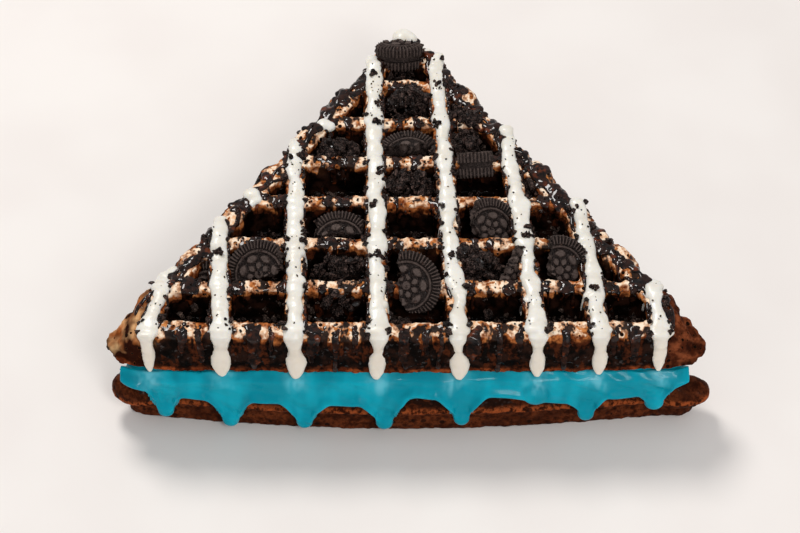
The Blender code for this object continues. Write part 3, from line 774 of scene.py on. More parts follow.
def drizzle_line(rib, surface):
    """Blobs along one rib, wider where ribs cross, and down the front wall to a pointed tip on the cream."""
    placings = []
    y = rib_end(rib) + 0.0022
    front = FRONT_Y + upper_shift(RIB_X[rib], FRONT_Y)
    while y > front + 0.0010:
        crossing = bell(min(abs(y - row_y(row)) for row in range(ROWS)), CROSSING_REACH)
        half = DRIZZLE_HALF + DRIZZLE_CROSSING * crossing + DRIZZLE_FRONT * bell(y - row_y(0), RIM_REACH)
        half += 0.00065 * wave(y, 0.0060, rib) + 0.0001 * wave(y, 0.0024, rib + 9)
        x = line_x(rib, y) + 0.0006 * wave(y, 0.009, rib + 20) + 0.0003 * wave(y, 0.0034, rib + 11)
        floor = height_at(surface, x, y) or TOP - RIB_ROUNDING
        height = DRIZZLE_HEIGHT * (0.9 + 0.2 * crossing + 0.25 * wave(y, 0.009, rib + 40))
        placings.append(placing((x, y, max(floor, TOP - DRIZZLE_SAG) + 0.0001), (half, 0.0021, height)))
        y -= DRIZZLE_STEP
    *halves, lower = DRIZZLE_RUNS[rib]
    height = RUN_PROFILE[-1][0] + 0.0004
    while height > RUN_PROFILE[0][0]:
        *shares, out = between(RUN_PROFILE, height)
        half = sum(half * share for half, share in zip(halves, shares))
        half *= 1 + 0.08 * wave(height, 0.005, rib + 80)
        z = height - lower * (TOP - height) / (TOP - RUN_PROFILE[0][0])
        x = rib_x(rib, FRONT_Y) + 0.0006 * wave(z, 0.012, rib + 60)
        wall = front - 0.0012 if out > 0.0002 else min(front_at(surface, x, z) or 1.0, front - 0.0004)
        placings.append(placing((x, wall - out, z), (half, 0.0008 + half * 0.30, 0.0010)))
        height -= RUN_STEP
    return placings


def make_drizzle(surface):
    placings = []
    for rib in RIBS:
        placings += drizzle_line(rib, surface)
    for x, y, size in DRIZZLE_DABS:
        floor = height_at(surface, x, y) or TOP - 0.002
        placings.append(placing((x, y, floor), (size, size, size * 0.6)))
    for rib, along, side in DRIZZLE_SPILLS:
        y = metres(along)
        for step in range(SPILL_BLOBS):
            x = rib_x(rib, y) + side * (LONG_RIB / 2 - 0.0008 + 0.00022 * step)
            half = 0.0017 - 0.00012 * step
            place = (x, y - 0.0002 * step, TOP - 0.0002 - 0.0009 * step)
            placings.append(placing(place, (half * 0.8, half, 0.0012)))
    blobs = balls("white_drizzle", 3, placings)
    return finish_surface(blobs, remesh(DRIZZLE_VOXEL), smooth(0.6, 8), lumps(0.0042, 0.0006), thin_out(0.60))


def draped_line(surface, points, half, height, seed, lowest=0.0):
    """Blobs that follow a surface along a line of (x, y), also down steep walls, until it gets too low."""
    placings, before = [], None
    for number, (x, y) in enumerate(points):
        floor = height_at(surface, x, y)
        if floor is None:
            continue
        here = Vector((x, y, floor))
        steps = 1 if before is None else max(1, round((here - before).length / SAUCE_STEP))
        for step in range(steps):
            place = here if before is None else before.lerp(here, (step + 1) / steps)
            if place.z < lowest:
                return placings
            width = half * (1 + 0.35 * wave(number * SAUCE_STEP, 0.006, seed))
            thick = height * (1 + 0.3 * wave(number, 9.0, seed))
            placings.append(placing(place, (width, width, thick)))
        before = here
    return placings


def sauce_pool(surface, x, y, half, draw):
    """An uneven flat pool on a cross rib, and runs from it down the wall that faces the front."""
    placings = []
    for _ in range(POOL_BLOBS):
        spot_x = x + half * draw.uniform(-0.8, 0.8)
        spot_y = y + CROSS_RIB * draw.uniform(-0.55, 0.50)
        floor = height_at(surface, spot_x, spot_y, RIB_ROUNDING)
        if floor is not None:
            size = half * draw.uniform(0.30, 0.62)
            sizes = (size, size * draw.uniform(0.8, 1.3), SAUCE_HEIGHT)
            placings.append(placing((spot_x, spot_y, floor), sizes))
    for _ in range(2):
        run_x = x + half * draw.uniform(-0.6, 0.6)
        points = [(run_x + 0.0004 * wave(step, 5.0, run_x * 900), y - step * 0.0005) for step in range(12)]
        width, lowest = half * draw.uniform(0.30, 0.50), TOP - draw.uniform(0.002, 0.010)
        placings += draped_line(surface, points, width, SAUCE_HEIGHT * 0.9, run_x * 500, lowest)
    return placings


def front_run(surface, start, half, foot, seed):
    """A run of sauce down the front wall, with a bead at its foot."""
    placings = []

    def x_at(z):
        return start + 0.0010 * wave(z, 0.010, seed + 30)

    z = TOP - 0.0003
    while z > foot:
        wall = front_at(surface, x_at(z), z)
        share = min(1.0, 0.45 + (z - foot) / 0.004)
        if wall is not None:
            placings.append(placing((x_at(z), wall + 0.0001, z), (half * share, SAUCE_HEIGHT, 0.0012)))
        z -= SAUCE_STEP
    wall = front_at(surface, start, foot)
    if wall is not None:
        placings.append(placing((x_at(foot), wall - 0.0002, foot), BEAD))
    return placings


def edge_sauce(surface, rib):
    """Uneven dark sauce on the shoulders of a long rib, beside its white line."""
    placings = []
    for side in (-1, 1):
        y = FRONT_Y + 0.004
        while y < rib_end(rib) - 0.002:
            cover = wave(y, 0.0075, rib * 2 + side + 100) * 0.5 + 0.5
            if cover > 1 - EDGE_SHARE:
                wander = 0.0005 + 0.0004 * wave(y, 0.004, rib + side + 140)
                x = line_x(rib, y) + side * (DRIZZLE_HALF + wander)
                floor = height_at(surface, x, y, EDGE_DEPTH)
                if floor is not None:
                    half = EDGE_HALF * min(1.0, 0.5 + 3 * (cover - 1 + EDGE_SHARE))
                    placings.append(placing((x, y, floor), (half, 0.0012, SAUCE_HEIGHT * 1.6)))
            y += SAUCE_STEP
    return placings


def rim_sauce(surface, side, draw):
    """Strings of sauce along a slanted rim, and small pools beside them."""
    placings = []
    start, normal = slanted_sides()[side]
    along = Vector((-normal.y, normal.x)) if normal.x > 0 else Vector((normal.y, -normal.x))
    length = math.hypot(HALF_BASE, DEPTH)
    for string in range(STRINGS):
        seed = side * STRINGS + string
        points = []
        reach = 0.010 + 0.004 * string
        while reach < length - 0.004:
            inset = 0.0040 - 0.0018 * string + 0.0034 * wave(reach, 0.011, seed)
            points.append(tuple(start + along * reach - normal * inset))
            reach += 0.0007
        placings += draped_line(surface, points, STRING_HALF, STRING_HALF, seed, TOP - STRING_HANG)
    for _ in range(RIM_POOLS):
        reach, inset = draw.uniform(0.020, length - 0.006), draw.uniform(-0.0005, 0.0050)
        spot = start + along * reach - normal * inset
        for _ in range(RIM_POOL_BLOBS):
            x, y = spot.x + RIM_POOL_REACH * draw.gauss(0, 1), spot.y + RIM_POOL_REACH * draw.gauss(0, 1)
            floor = height_at(surface, x, y, POCKET_DEPTH)
            if floor is not None:
                size = draw.uniform(0.0010, 0.0022)
                placings.append(placing((x, y, floor), (size, size, SAUCE_HEIGHT * 1.8)))
    return placings


def make_sauce(surface):
    """Pools on the cross ribs with runs into the pockets, runs down the front, and strings on the rims."""
    placings = []
    draw = random.Random(52)
    for seed, (start, half, foot) in enumerate(SAUCE_RUNS):
        placings += sauce_pool(surface, start, row_y(0), half * 1.1, draw)
        placings += front_run(surface, start, half, foot, seed)
    for row in range(1, ROWS):
        y = row_y(row)
        for rib in RIBS[:-1]:
            for low, high in POOL_SHARES:
                share = draw.uniform(low, high)
                x = rib_x(rib, y) * (1 - share) + rib_x(rib + 1, y) * share
                half = draw.uniform(*POOL_HALF)
                if inside_wedge(x, y, 0.001):
                    placings += sauce_pool(surface, x, y, half, draw)
    for rib in RIBS:
        placings += edge_sauce(surface, rib)
    for side in range(2):
        placings += rim_sauce(surface, side, draw)
    blobs = balls("chocolate_sauce", 2, placings)
    return finish_surface(blobs, remesh(SAUCE_VOXEL), smooth(0.5, 3), thin_out(0.50))


# ---------------------------------------------------------------- cookies

def wafer_relief(reach, angle):
    """Relief of a wafer's face from -1 to 1 at a share of its radius: ridges, rings and a plain rosette."""
    if reach > 0.985:
        return -1.0
    if reach > 0.75:
        return clamp(2.0 * math.sin(angle * RIDGES), -1.0)
    for inner, height in ((0.71, -1.0), (0.65, 0.8), (0.60, -1.0)):
        if reach > inner:
            return height
    if reach < 0.12:
        return 0.8
    middle, turn = (0.48, 0.0) if reach > 0.36 else (0.25, math.pi)
    petal = math.cos(PETALS * angle + turn) + 0.7 - 1.5 * ((reach - middle) / 0.10) ** 2
    return clamp(2.5 * petal, -1.0)


def add_wafer():
    """A wafer lying face up on z 0: a disc drawn up, inset ring by ring, its face pressed to the relief."""
    deselect()
    bpy.ops.mesh.primitive_circle_add(vertices=6 * RIDGES, radius=COOKIE_RADIUS, fill_type="NGON")
    wafer = bpy.context.object
    edit_all()
    for _ in range(4):
        bpy.ops.mesh.extrude_region_move(TRANSFORM_OT_translate={"value": (0, 0, WAFER / 4)})
    for _ in range(WAFER_RINGS):
        bpy.ops.mesh.inset(thickness=COOKIE_RADIUS * 0.96 / WAFER_RINGS)
    end_edit()
    for vert in wafer.data.vertices:
        reach = math.hypot(vert.co.x, vert.co.y) / COOKIE_RADIUS
        angle = math.atan2(vert.co.y, vert.co.x)
        if reach > 0.99:
            squeeze = 1 - 0.030 * (0.5 - 0.5 * math.sin(angle * RIDGES))
            vert.co.x *= squeeze
            vert.co.y *= squeeze
        if vert.co.z > WAFER * 0.99:
            vert.co.z += RELIEF * wafer_relief(reach, angle)
    return wafer


def mark_relief(wafer, side):
    """Stores how high each point of a wafer's face and edge lies in the relief, from 0 to 1, for its colour.

    The colour is painted shade in the grooves and a painted highlight on the ridges. The side is 1 for a
    wafer that lies face up, -1 for one that lies face down and 0 for the filling.
    """
    mark = wafer.data.attributes.new("relief", "FLOAT", "POINT")
    for vert, share in zip(wafer.data.vertices, mark.data):
        reach = math.hypot(vert.co.x, vert.co.y) / COOKIE_RADIUS
        angle = math.atan2(vert.co.y * side, vert.co.x)
        if side == 0:
            share.value = 0.35
        elif reach > 0.96:
            share.value = 0.5 + 0.5 * math.sin(angle * RIDGES)
        else:
            share.value = 0.5 + 0.5 * wafer_relief(reach, angle)


def add_break(direction, distance, seed):
    """A block with a rough face, standing where a piece of the cookie is broken off."""
    wide, high, thick = 0.034, 0.014, 0.024
    deselect()
    bpy.ops.mesh.primitive_grid_add(x_subdivisions=44, y_subdivisions=18, size=1.0)
    block = bpy.context.object
    for vert in block.data.vertices:
        side, up = vert.co.x * wide, vert.co.y * high
        rough = noise.noise(Vector((side / 0.0030, up / 0.0030, seed))) * 0.0016
        rough += noise.noise(Vector((side / 0.0011, up / 0.0011, seed + 50))) * 0.0009
        vert.co = (rough, side, up)
    edit_all()
    bpy.ops.mesh.extrude_region_move(TRANSFORM_OT_translate={"value": (thick, 0, 0)})
    end_edit()
    angle = math.radians(direction)
    block.location = (distance * math.cos(angle), distance * math.sin(angle), 0)
    block.rotation_euler.z = angle
    apply_place(block)
    return block


def make_cookie(node, place, seed):
    """One broken cookie, or one broken wafer, in the place of its solid."""
    centre, tilt, lean, wafers, breaks = place
    upper = add_wafer()
    parts = [upper]
    if wafers == 2:
        upper.location.z = SANDWICH_FILLING / 2
        lower = upper.copy()
        lower.data = upper.data.copy()
        bpy.context.scene.collection.objects.link(lower)
        lower.rotation_euler.x = math.pi
        lower.location.z = -SANDWICH_FILLING / 2
        deselect()
        bpy.ops.mesh.primitive_cylinder_add(
            vertices=64, radius=COOKIE_RADIUS * 0.90, depth=SANDWICH_FILLING * 1.1,
        )
        parts += [lower, bpy.context.object]
    else:
        upper.location.z = -WAFER / 2
    for part in parts:
        apply_place(part)
    cutters = [
        add_break(direction, metres(distance), seed * 3.7 + number)
        for number, (direction, distance) in enumerate(breaks)
    ]
    cuts = [
        ("BOOLEAN", {"operation": "DIFFERENCE", "object": cutter, "solver": "MANIFOLD"}) for cutter in cutters
    ]
    for part in parts:
        finish_surface(part, *cuts)
    for cutter in cutters:
        bpy.data.objects.remove(cutter)
    for part, side in zip(parts, (1, -1, 0)):
        mark_relief(part, side)
    cookie = join(parts, "broken_" + node)
    turn = Euler((math.radians(tilt), math.radians(lean), 0)).to_matrix().to_4x4()
    cookie.data.transform(Matrix.Translation(metres(centre)) @ turn)
    pick(cookie)
    bpy.ops.object.shade_smooth_by_angle(angle=math.radians(40))
    return cookie


# ---------------------------------------------------------------- crumbs

def crumb_shapes(detail, count, seed, grain, share=1.0):
    """Crumbs: lumpy little balls with flat faces where they broke off, roughened by grain.

    They are strewn by the hundred, so only that share of their faces stays.
    """
    shapes = []
    draw = random.Random(seed)
    for number in range(count):
        ball = add_ball(detail)
        offset = Vector((number * 5.3, seed, 0))
        breaks = []
        for _ in range(9):
            direction = Vector([draw.gauss(0, 1) for _ in range(3)]).normalized()
            breaks.append((direction, draw.uniform(0.35, 0.80)))
        for vert in ball.data.vertices:
            vert.co *= 1.05 + 0.60 * noise.noise(vert.co * 1.3 + offset)
            for direction, reach in breaks:
                vert.co -= direction * max(0.0, vert.co.dot(direction) - reach)
            rough = noise.noise(vert.co * 4.5 + offset) + 0.7 * noise.noise(vert.co * 10.0 + offset)
            vert.co *= 1 + grain * rough
        if share < 1:
            finish_surface(ball, thin_out(share))
        shapes.append(shape_arrays(ball))
    return shapes


class Strewing:
    """Crumbs of a few shapes, strewn one by one and made one piece."""

    def __init__(self, seed, shapes):
        self.draw = random.Random(seed)
        self.shapes = shapes
        self.placings = []

    def size(self, *sizes):
        """One of some sizes in millimetres."""
        return self.draw.choice(sizes) * MM

    def drop(self, place, size):
        turn = Euler([self.draw.uniform(0, math.tau) for _ in range(3)]).to_matrix().to_4x4()
        sizes = [size * self.draw.uniform(0.75, 1.25) for _ in range(3)]
        matrix = Matrix.Translation(place) @ turn @ Matrix.Diagonal((*sizes, 1.0))
        self.placings.append((self.draw.randrange(len(self.shapes)), matrix))

    def drop_on_rib(self, surface, x, y, size):
        """Drops a crumb half sunk in the top of a rib or line, if there is one at that place."""
        floor = height_at(surface, x, y, RIB_ROUNDING)
        if floor is not None:
            self.drop(Vector((x, y, floor + size * 0.25)), size)

    def heap_places(self, heap):
        """Random places in a dome over the pocket floor."""
        x, y, half_x, half_y, height = metres(heap[:5])
        for _ in range(heap[5]):
            share = math.sqrt(self.draw.random())
            angle = self.draw.uniform(0, math.tau)
            dome = math.sqrt(max(0.0, 1 - (share * 0.92) ** 2))
            rise = height * dome * self.draw.uniform(0.72, 1.0)
            spot_x, spot_y = x + half_x * share * math.cos(angle), y + half_y * share * math.sin(angle)
            if inside_wedge(spot_x, spot_y, 0.0015):
                yield Vector((spot_x, spot_y, POCKET_FLOOR + rise))

    def pocket_spots(self, count):
        """Random places on the floors of all pockets, some in each."""
        for row, rib in cells():
            for _ in range(count):
                y = row_y(row) + ROW_PITCH * self.draw.uniform(0.18, 0.82)
                x = rib_x(rib, y) + (rib_x(rib + 1, y) - rib_x(rib, y)) * self.draw.uniform(0.20, 0.80)
                if inside_wedge(x, y, 0.006):
                    yield x, y


def make_cookie_chunks():
    """The larger broken pieces of cookie, lying on the heaps and on the floors of the pockets."""
    chunks = Strewing(61, crumb_shapes(detail=3, count=10, seed=12, grain=0.14, share=0.28))
    for heap in HEAPS:
        for place in list(chunks.heap_places(heap))[::CHUNK_SHARE]:
            chunks.drop(place, chunks.draw.uniform(*CHUNK_SIZE))
    for x, y in chunks.pocket_spots(FLOOR_CHUNKS):
        size = chunks.draw.uniform(*FLOOR_CHUNK_SIZE)
        chunks.drop(Vector((x, y, POCKET_FLOOR + size * chunks.draw.uniform(0.5, 1.6))), size)
    return copies("cookie_chunks", chunks.shapes, chunks.placings)


def make_pocket_crumbs(covered):
    """Clumps of crumbs on the floors of the pockets."""
    crumbs = Strewing(44, crumb_shapes(detail=2, count=9, seed=6, grain=0.16, share=0.6))
    draw = crumbs.draw
    for middle_x, middle_y in crumbs.pocket_spots(POCKET_CLUMPS):
        for _ in range(CLUMP_CRUMBS):
            x, y = middle_x + CLUMP_REACH * draw.gauss(0, 1), middle_y + CLUMP_REACH * draw.gauss(0, 1)
            floor = height_at(covered, x, y)
            if floor is not None and floor < TOP - POCKET_DEPTH / 2 and inside_wedge(x, y, 0.004):
                size = crumbs.size(*CLUMP_SIZES)
                crumbs.drop(Vector((x, y, floor + size * draw.uniform(0.2, 0.9))), size)
    return copies("pocket_crumbs", crumbs.shapes, crumbs.placings)


def make_coarse_crumbs(iced):
    """Crumbs that make up the heaps, and stick to the edges of the white lines."""
    crumbs = Strewing(21, crumb_shapes(detail=2, count=9, seed=4, grain=0.16, share=0.6))
    draw = crumbs.draw
    for heap in HEAPS:
        x, y, half_x, half_y, height = metres(heap[:5])
        core = (half_x * 0.80, half_y * 0.80, height * 0.52)
        crumbs.placings.append(placing((x, y, POCKET_FLOOR + height * 0.20), core))
        for place in crumbs.heap_places(heap):
            crumbs.drop(place, crumbs.size(*HEAP_SIZES))
    for rib in RIBS:
        length = rib_end(rib) - FRONT_Y
        for side in (-1, 1):
            for _ in range(round(length / EDGE_CRUMB_STEP)):
                y = FRONT_Y + length * draw.random()
                x = line_x(rib, y) + side * (DRIZZLE_HALF + draw.gauss(0.0006, 0.0005))
                crumbs.drop_on_rib(iced, x, y, crumbs.size(*EDGE_SIZES))
    for x, y, reach in LINE_CLUSTERS:
        for _ in range(CLUSTER_CRUMBS):
            spot_x, spot_y = x + reach * draw.uniform(-0.9, 0.9), y + reach * draw.uniform(-0.8, 0.8)
            crumbs.drop_on_rib(iced, spot_x, spot_y, draw.uniform(0.6, 1.3) * MM)
    return copies("coarse_crumbs", crumbs.shapes, crumbs.placings)


def make_fine_crumbs(covered, iced):
    """Fine crumbs strewn over everything, a few of them on the white lines."""
    crumbs = Strewing(33, crumb_shapes(detail=1, count=6, seed=9, grain=0.10))
    draw = crumbs.draw
    while len(crumbs.placings) < FINE_CRUMBS:
        x = draw.uniform(-HALF_BASE, HALF_BASE)
        y = draw.uniform(FRONT_Y, FRONT_Y + DEPTH)
        if not inside_wedge(x, y, 0.001):
            continue
        floor = height_at(covered, x, y)
        thick = noise.noise(Vector((x / 0.02, y / 0.02, 0))) + (0.35 if inside_wedge(x, y, 0.007) else -0.10)
        if floor is None or draw.random() > 0.35 + thick:
            continue
        size = crumbs.size(*FINE_SIZES)
        crumbs.drop(Vector((x, y, floor + size * 0.3)), size)
    for rib in RIBS:
        length = rib_end(rib) - FRONT_Y
        for _ in range(round(length / SPECK_STEP)):
            y = FRONT_Y + length * draw.random()
            x = line_x(rib, y) + draw.uniform(-1, 1) * DRIZZLE_HALF
            crumbs.drop_on_rib(iced, x, y, crumbs.size(*SPECK_SIZES))
    return copies("fine_crumbs", crumbs.shapes, crumbs.placings)


# ---------------------------------------------------------------- materials

def linear(screen):
    """An 8-bit screen colour as the shader's linear one."""
    return (*(((c / 255 + 0.055) / 1.055) ** 2.4 if c > 10 else c / 255 / 12.92 for c in screen), 1.0)


class Nodes:
    """Adds nodes to a shader tree. Each call hands back sockets, which other calls take in."""

    def __init__(self, tree):
        self.tree = tree

    def feed(self, value, socket):
        if isinstance(value, bpy.types.NodeSocket):
            self.tree.links.new(value, socket)
        else:
            socket.default_value = value

    def put(self, kind, inputs=None, **settings):
        """Adds a node. Its inputs are given by name or number, as values or as sockets to link."""
        made = self.tree.nodes.new("ShaderNode" + kind)
        for key, value in settings.items():
            setattr(made, key, value)
        for key, value in (inputs or {}).items():
            self.feed(value, made.inputs[key])
        return made.outputs

    def maths(self, operation, *values):
        return self.put("Math", dict(enumerate(values)), operation=operation)[0]

    def times(self, first, second):
        return self.maths("MULTIPLY", first, second)

    def plus(self, first, second):
        return self.maths("ADD", first, second)

    def minus(self, first, second):
        return self.maths("SUBTRACT", first, second)

    def ramp(self, value, start, end, low=0.0, high=1.0):
        """A smooth step from start to end."""
        return self.put("MapRange", {
            "Value": value, "From Min": start, "From Max": end, "To Min": low, "To Max": high,
        }, interpolation_type="SMOOTHSTEP")[0]

    def blend(self, share, first, second):
        """Mixes two looks, each a socket or an 8-bit screen colour."""
        first, second = (linear(look) if isinstance(look, tuple) else look for look in (first, second))
        return self.put("Mix", {0: share, 6: first, 7: second}, data_type="RGBA")[2]

    def clouds(self, size, detail=2.0, rough=0.5, vector=None):
        """Noise with features of a size in millimetres, on coordinates in millimetres."""
        return self.put("TexNoise", {
            "Vector": self.vector if vector is None else vector,
            "Scale": 1.0 / size, "Detail": detail, "Roughness": rough,
        })["Fac"]


class Finish(Nodes):
    """A material in the making, with object coordinates in millimetres."""

    def __init__(self, name, **constants):
        self.material = bpy.data.materials.new(name)
        self.material.use_nodes = True
        super().__init__(self.material.node_tree)
        self.sockets = self.tree.nodes["Principled BSDF"].inputs
        for key, value in constants.items():
            self.sockets[key.replace("_", " ")].default_value = value
        place = self.put("TexCoord")["Object"]
        self.vector = self.put("VectorMath", {0: place, "Scale": 1000.0}, operation="SCALE")[0]

    def group(self, group, **inputs):
        return self.put("Group", {"Vector": self.vector, **inputs}, node_tree=group)

    def stretched(self, *scale):
        return self.put("Mapping", {"Vector": self.vector, "Scale": scale})[0]

    def glints(self):
        """How strongly wet sauce shines: hardly at all, but for small patches."""
        return self.ramp(self.clouds(1.6, 1.0), 0.62, 0.70, 0.03, 0.60)

    def close(self, look, bump=None, **sockets):
        """Links the look and what else changes over the surface. Bump is a height, a strength and a depth."""
        self.feed(look, self.sockets["Base Color"])
        for key, value in sockets.items():
            self.feed(value, self.sockets[key.replace("_", " ")])
        if bump:
            relief = self.put("Bump", dict(zip(("Height", "Strength", "Distance"), bump)))[0]
            self.feed(relief, self.sockets["Normal"])
        return self.material


def new_group(name, measure, *labels):
    """A group that takes coordinates and a size in millimetres, and puts out numbers under those labels."""
    tree = bpy.data.node_groups.new(name, "ShaderNodeTree")
    tree.interface.new_socket("Vector", in_out="INPUT", socket_type="NodeSocketVector")
    tree.interface.new_socket(measure, in_out="INPUT", socket_type="NodeSocketFloat")
    for label in labels:
        tree.interface.new_socket(label, in_out="OUTPUT", socket_type="NodeSocketFloat")
    nodes = Nodes(tree)
    given = tree.nodes.new("NodeGroupInput").outputs
    made = tree.nodes.new("NodeGroupOutput").inputs
    scale = nodes.maths("DIVIDE", 1.0, given[measure])
    nodes.vector = nodes.put("VectorMath", {0: given["Vector"], "Scale": scale}, operation="SCALE")[0]
    return nodes, made


def make_grain_group():
    """Fine baked grain: a height that changes in two sizes, and pale flecks."""
    mix, made = new_group("grain", "Size", "Height", "Fleck")
    coarse, fine = mix.clouds(1.0, 3.0, 0.6), mix.clouds(0.35, 2.0, 0.6)
    mix.feed(mix.plus(mix.times(coarse, 0.7), mix.times(fine, 0.3)), made["Height"])
    mix.feed(mix.ramp(fine, 0.58, 0.70), made["Fleck"])
    return mix.tree


def make_pores_group():
    """Round pores: 1 inside a hole and 0 outside, with a soft rim."""
    mix, made = new_group("pores", "Spacing", "Hole")
    pores = mix.put("TexVoronoi", {"Vector": mix.vector, "Scale": 1.0, "Randomness": 0.9})
    chance = mix.put("SeparateColor", {"Color": pores["Color"]})[0]
    hole = mix.minus(mix.ramp(chance, 0.25, 1.0, 0.02, 0.34), pores["Distance"])
    mix.feed(mix.ramp(hole, -0.03, 0.06), made["Hole"])
    return mix.tree


def upper_crust_material(grain, pores):
    """Dark crust with tan rib tops full of pores, an orange-brown fade below them, and a film of sauce that
    thickens deep in the pockets, partly as painted shade.
    """
    mix = Finish("upper_crust", Specular_IOR_Level=0.02, Roughness=0.60, Coat_Roughness=0.06)
    x, y, z = mix.put("SeparateXYZ", {0: mix.vector})
    facing = mix.put("SeparateXYZ", {0: mix.put("NewGeometry")["Normal"]})["Z"]
    broad, patch, mottle = mix.clouds(9.0), mix.clouds(4.6), mix.clouds(2.2, 3.0, 0.62)

    # The walls, and the two front corners, where the rim is bare: golden on the left, russet on the right
    brown = mix.blend(mix.ramp(mottle, 0.38, 0.62), (22, 9, 5), (74, 35, 18))
    corner = mix.ramp(mix.maths("ABSOLUTE", x), 84.0, 93.0)
    # Height over the rim that curls up at the left corner, where painted shade darkens the front of the wall
    low = mix.minus(z, mix.ramp(x, -88.0, -99.0, 0.0, 2.4))
    # Painted shade darkens the golden corner towards the bottom and at its far left front, with dark patches
    # at random
    painted_shade_and_patches = mix.plus(mix.ramp(low, 34.0, 30.5, 0.0, 0.8), mix.ramp(patch, 0.70, 0.34, 0.0, 0.7))
    painted_shade_and_patches = mix.plus(painted_shade_and_patches, mix.times(mix.ramp(x, -98.0, -95.0), mix.ramp(low, 41.2, 38.2)))
    gold = mix.blend(mix.ramp(broad, 0.32, 0.66), (186, 98, 40), (255, 208, 150))
    gold = mix.blend(mix.ramp(mottle, 0.36, 0.70, 0.0, 0.5), gold, (190, 110, 56))
    gold = mix.blend(mix.maths("MINIMUM", painted_shade_and_patches, 1.0), gold, (42, 15, 6))
    russet = mix.blend(mix.ramp(patch, 0.36, 0.64), (46, 17, 7), (140, 74, 44))
    russet = mix.blend(mix.ramp(mottle, 0.40, 0.66), russet, (72, 30, 14))
    edge = mix.blend(mix.ramp(x, 0.0, -1.0), russet, gold)
    brown = mix.blend(mix.times(corner, 0.9), brown, edge)

    # The rib tops, down to an uneven level
    level = mix.plus(z, mix.maths("MULTIPLY_ADD", patch, 6.5, -3.25))
    level = mix.plus(level, mix.maths("MULTIPLY_ADD", broad, 5.0, -2.5))
    level = mix.minus(level, mix.times(corner, 4.5))
    halo = mix.ramp(level, 43.0, 44.7)
    tan = mix.times(mix.ramp(level, 44.8, 45.7), mix.ramp(facing, 0.1, 0.7))
    warm = mix.blend(mix.ramp(mottle, 0.35, 0.65), (98, 42, 16), (196, 116, 62))
    pale = mix.blend(mix.ramp(mottle, 0.34, 0.58), (236, 182, 136), (255, 234, 208))
    caramel = mix.blend(mix.ramp(mottle, 0.38, 0.62), (112, 52, 20), (206, 132, 74))
    pale = mix.blend(mix.ramp(mix.clouds(3.2), 0.56, 0.63), pale, caramel)
    look = mix.blend(halo, brown, warm)
    look = mix.blend(tan, look, pale)

    # The seam along the bottom
    lip = mix.times(mix.ramp(low, 31.0, 30.0), mix.ramp(mottle, 0.36, 0.62, 0.15, 1.0))
    look = mix.blend(lip, look, mix.blend(mix.ramp(patch, 0.35, 0.65), (84, 34, 16), (156, 76, 38)))

    hole = mix.times(mix.group(pores, Spacing=2.4)["Hole"], mix.maths("MAXIMUM", halo, corner))
    # The pores get an orange-brown rim, and painted shade inside their holes
    look = mix.blend(mix.ramp(hole, 0.0, 0.5), look, (124, 62, 28))
    look = mix.blend(mix.ramp(hole, 0.35, 0.8), look, (22, 11, 6))

    # Sauce soaks the walls of the pockets and some of the front, and is caramel where it runs thin
    film = mix.clouds(4.6, 3.0, 0.55, mix.stretched(1.0, 0.60, 0.40))
    # More dark film deeper in the pockets: sauce that gathers there, and painted shade
    depth = mix.times(mix.ramp(z, 44.8, 40.0, 0.0, 0.20), mix.ramp(y, -74.0, -71.5, 0.2, 1.0))
    front = mix.times(mix.ramp(y, -72.2, -73.4), mix.ramp(z, 45.5, 43.0, 0.0, 0.05))
    film = mix.plus(mix.plus(film, depth), front)
    bare = mix.minus(1.0, corner)
    thin = mix.times(mix.times(mix.ramp(film, 0.47, 0.53), halo), bare)
    look = mix.blend(mix.times(thin, 0.75), look, caramel)
    film = mix.times(mix.times(mix.ramp(film, 0.53, 0.58), mix.ramp(z, 30.6, 32.0)), bare)
    dark = mix.blend(mix.ramp(patch, 0.44, 0.68), (4, 2, 1), (38, 20, 13))
    look = mix.blend(mix.times(film, 0.97), look, dark)
    shine = mix.times(film, mix.maths("MAXIMUM", mix.glints(), mix.ramp(z, 43.5, 45.0, 0.0, 0.5)))

    height = mix.minus(mix.group(grain, Size=1.1)["Height"], mix.times(hole, 1.5))
    height = mix.maths("MULTIPLY_ADD", film, 0.5, height)
    return mix.close(look, (height, 0.7, 0.0006), Coat_Weight=shine)


def lower_crust_material(grain, pores):
    """Matte reddish brown crust with an orange seam, and dark above the seam."""
    mix = Finish("lower_crust", Specular_IOR_Level=0.03, Roughness=0.6, Coat_Roughness=0.15)
    x, _, z = mix.put("SeparateXYZ", {0: mix.vector})
    mottle = mix.clouds(2.0, 4.0, 0.65)
    look = mix.blend(mix.ramp(mottle, 0.34, 0.66), (48, 17, 5), (104, 50, 25))
    look = mix.blend(mix.ramp(mix.clouds(9.0), 0.42, 0.62, 0.0, 0.6), look, (38, 12, 4))
    seam = mix.times(mix.ramp(z, 9.2, 10.2), mix.ramp(z, 12.6, 11.4))
    look = mix.blend(mix.times(seam, mix.ramp(mottle, 0.42, 0.60)), look, (156, 76, 38))
    # Darker above the seam, where the crust lies back under the cream: partly a wet sauce film, partly
    # painted shade, less of it towards the ends
    film = mix.times(mix.ramp(z, 11.2, 13.2), mix.ramp(mix.clouds(4.0), 0.40, 0.52))
    film = mix.times(film, mix.ramp(mix.maths("ABSOLUTE", x), 96.0, 88.0, 0.25, 1.0))
    look = mix.blend(mix.times(film, 0.9), look, (16, 5, 2))
    # Painted shade inside the pores
    hole = mix.group(pores, Spacing=3.4)["Hole"]
    look = mix.blend(mix.times(hole, 0.8), look, (24, 10, 6))
    height = mix.minus(mix.group(grain, Size=0.9)["Height"], hole)
    return mix.close(look, (height, 0.7, 0.0005), Coat_Weight=mix.times(film, mix.glints()))


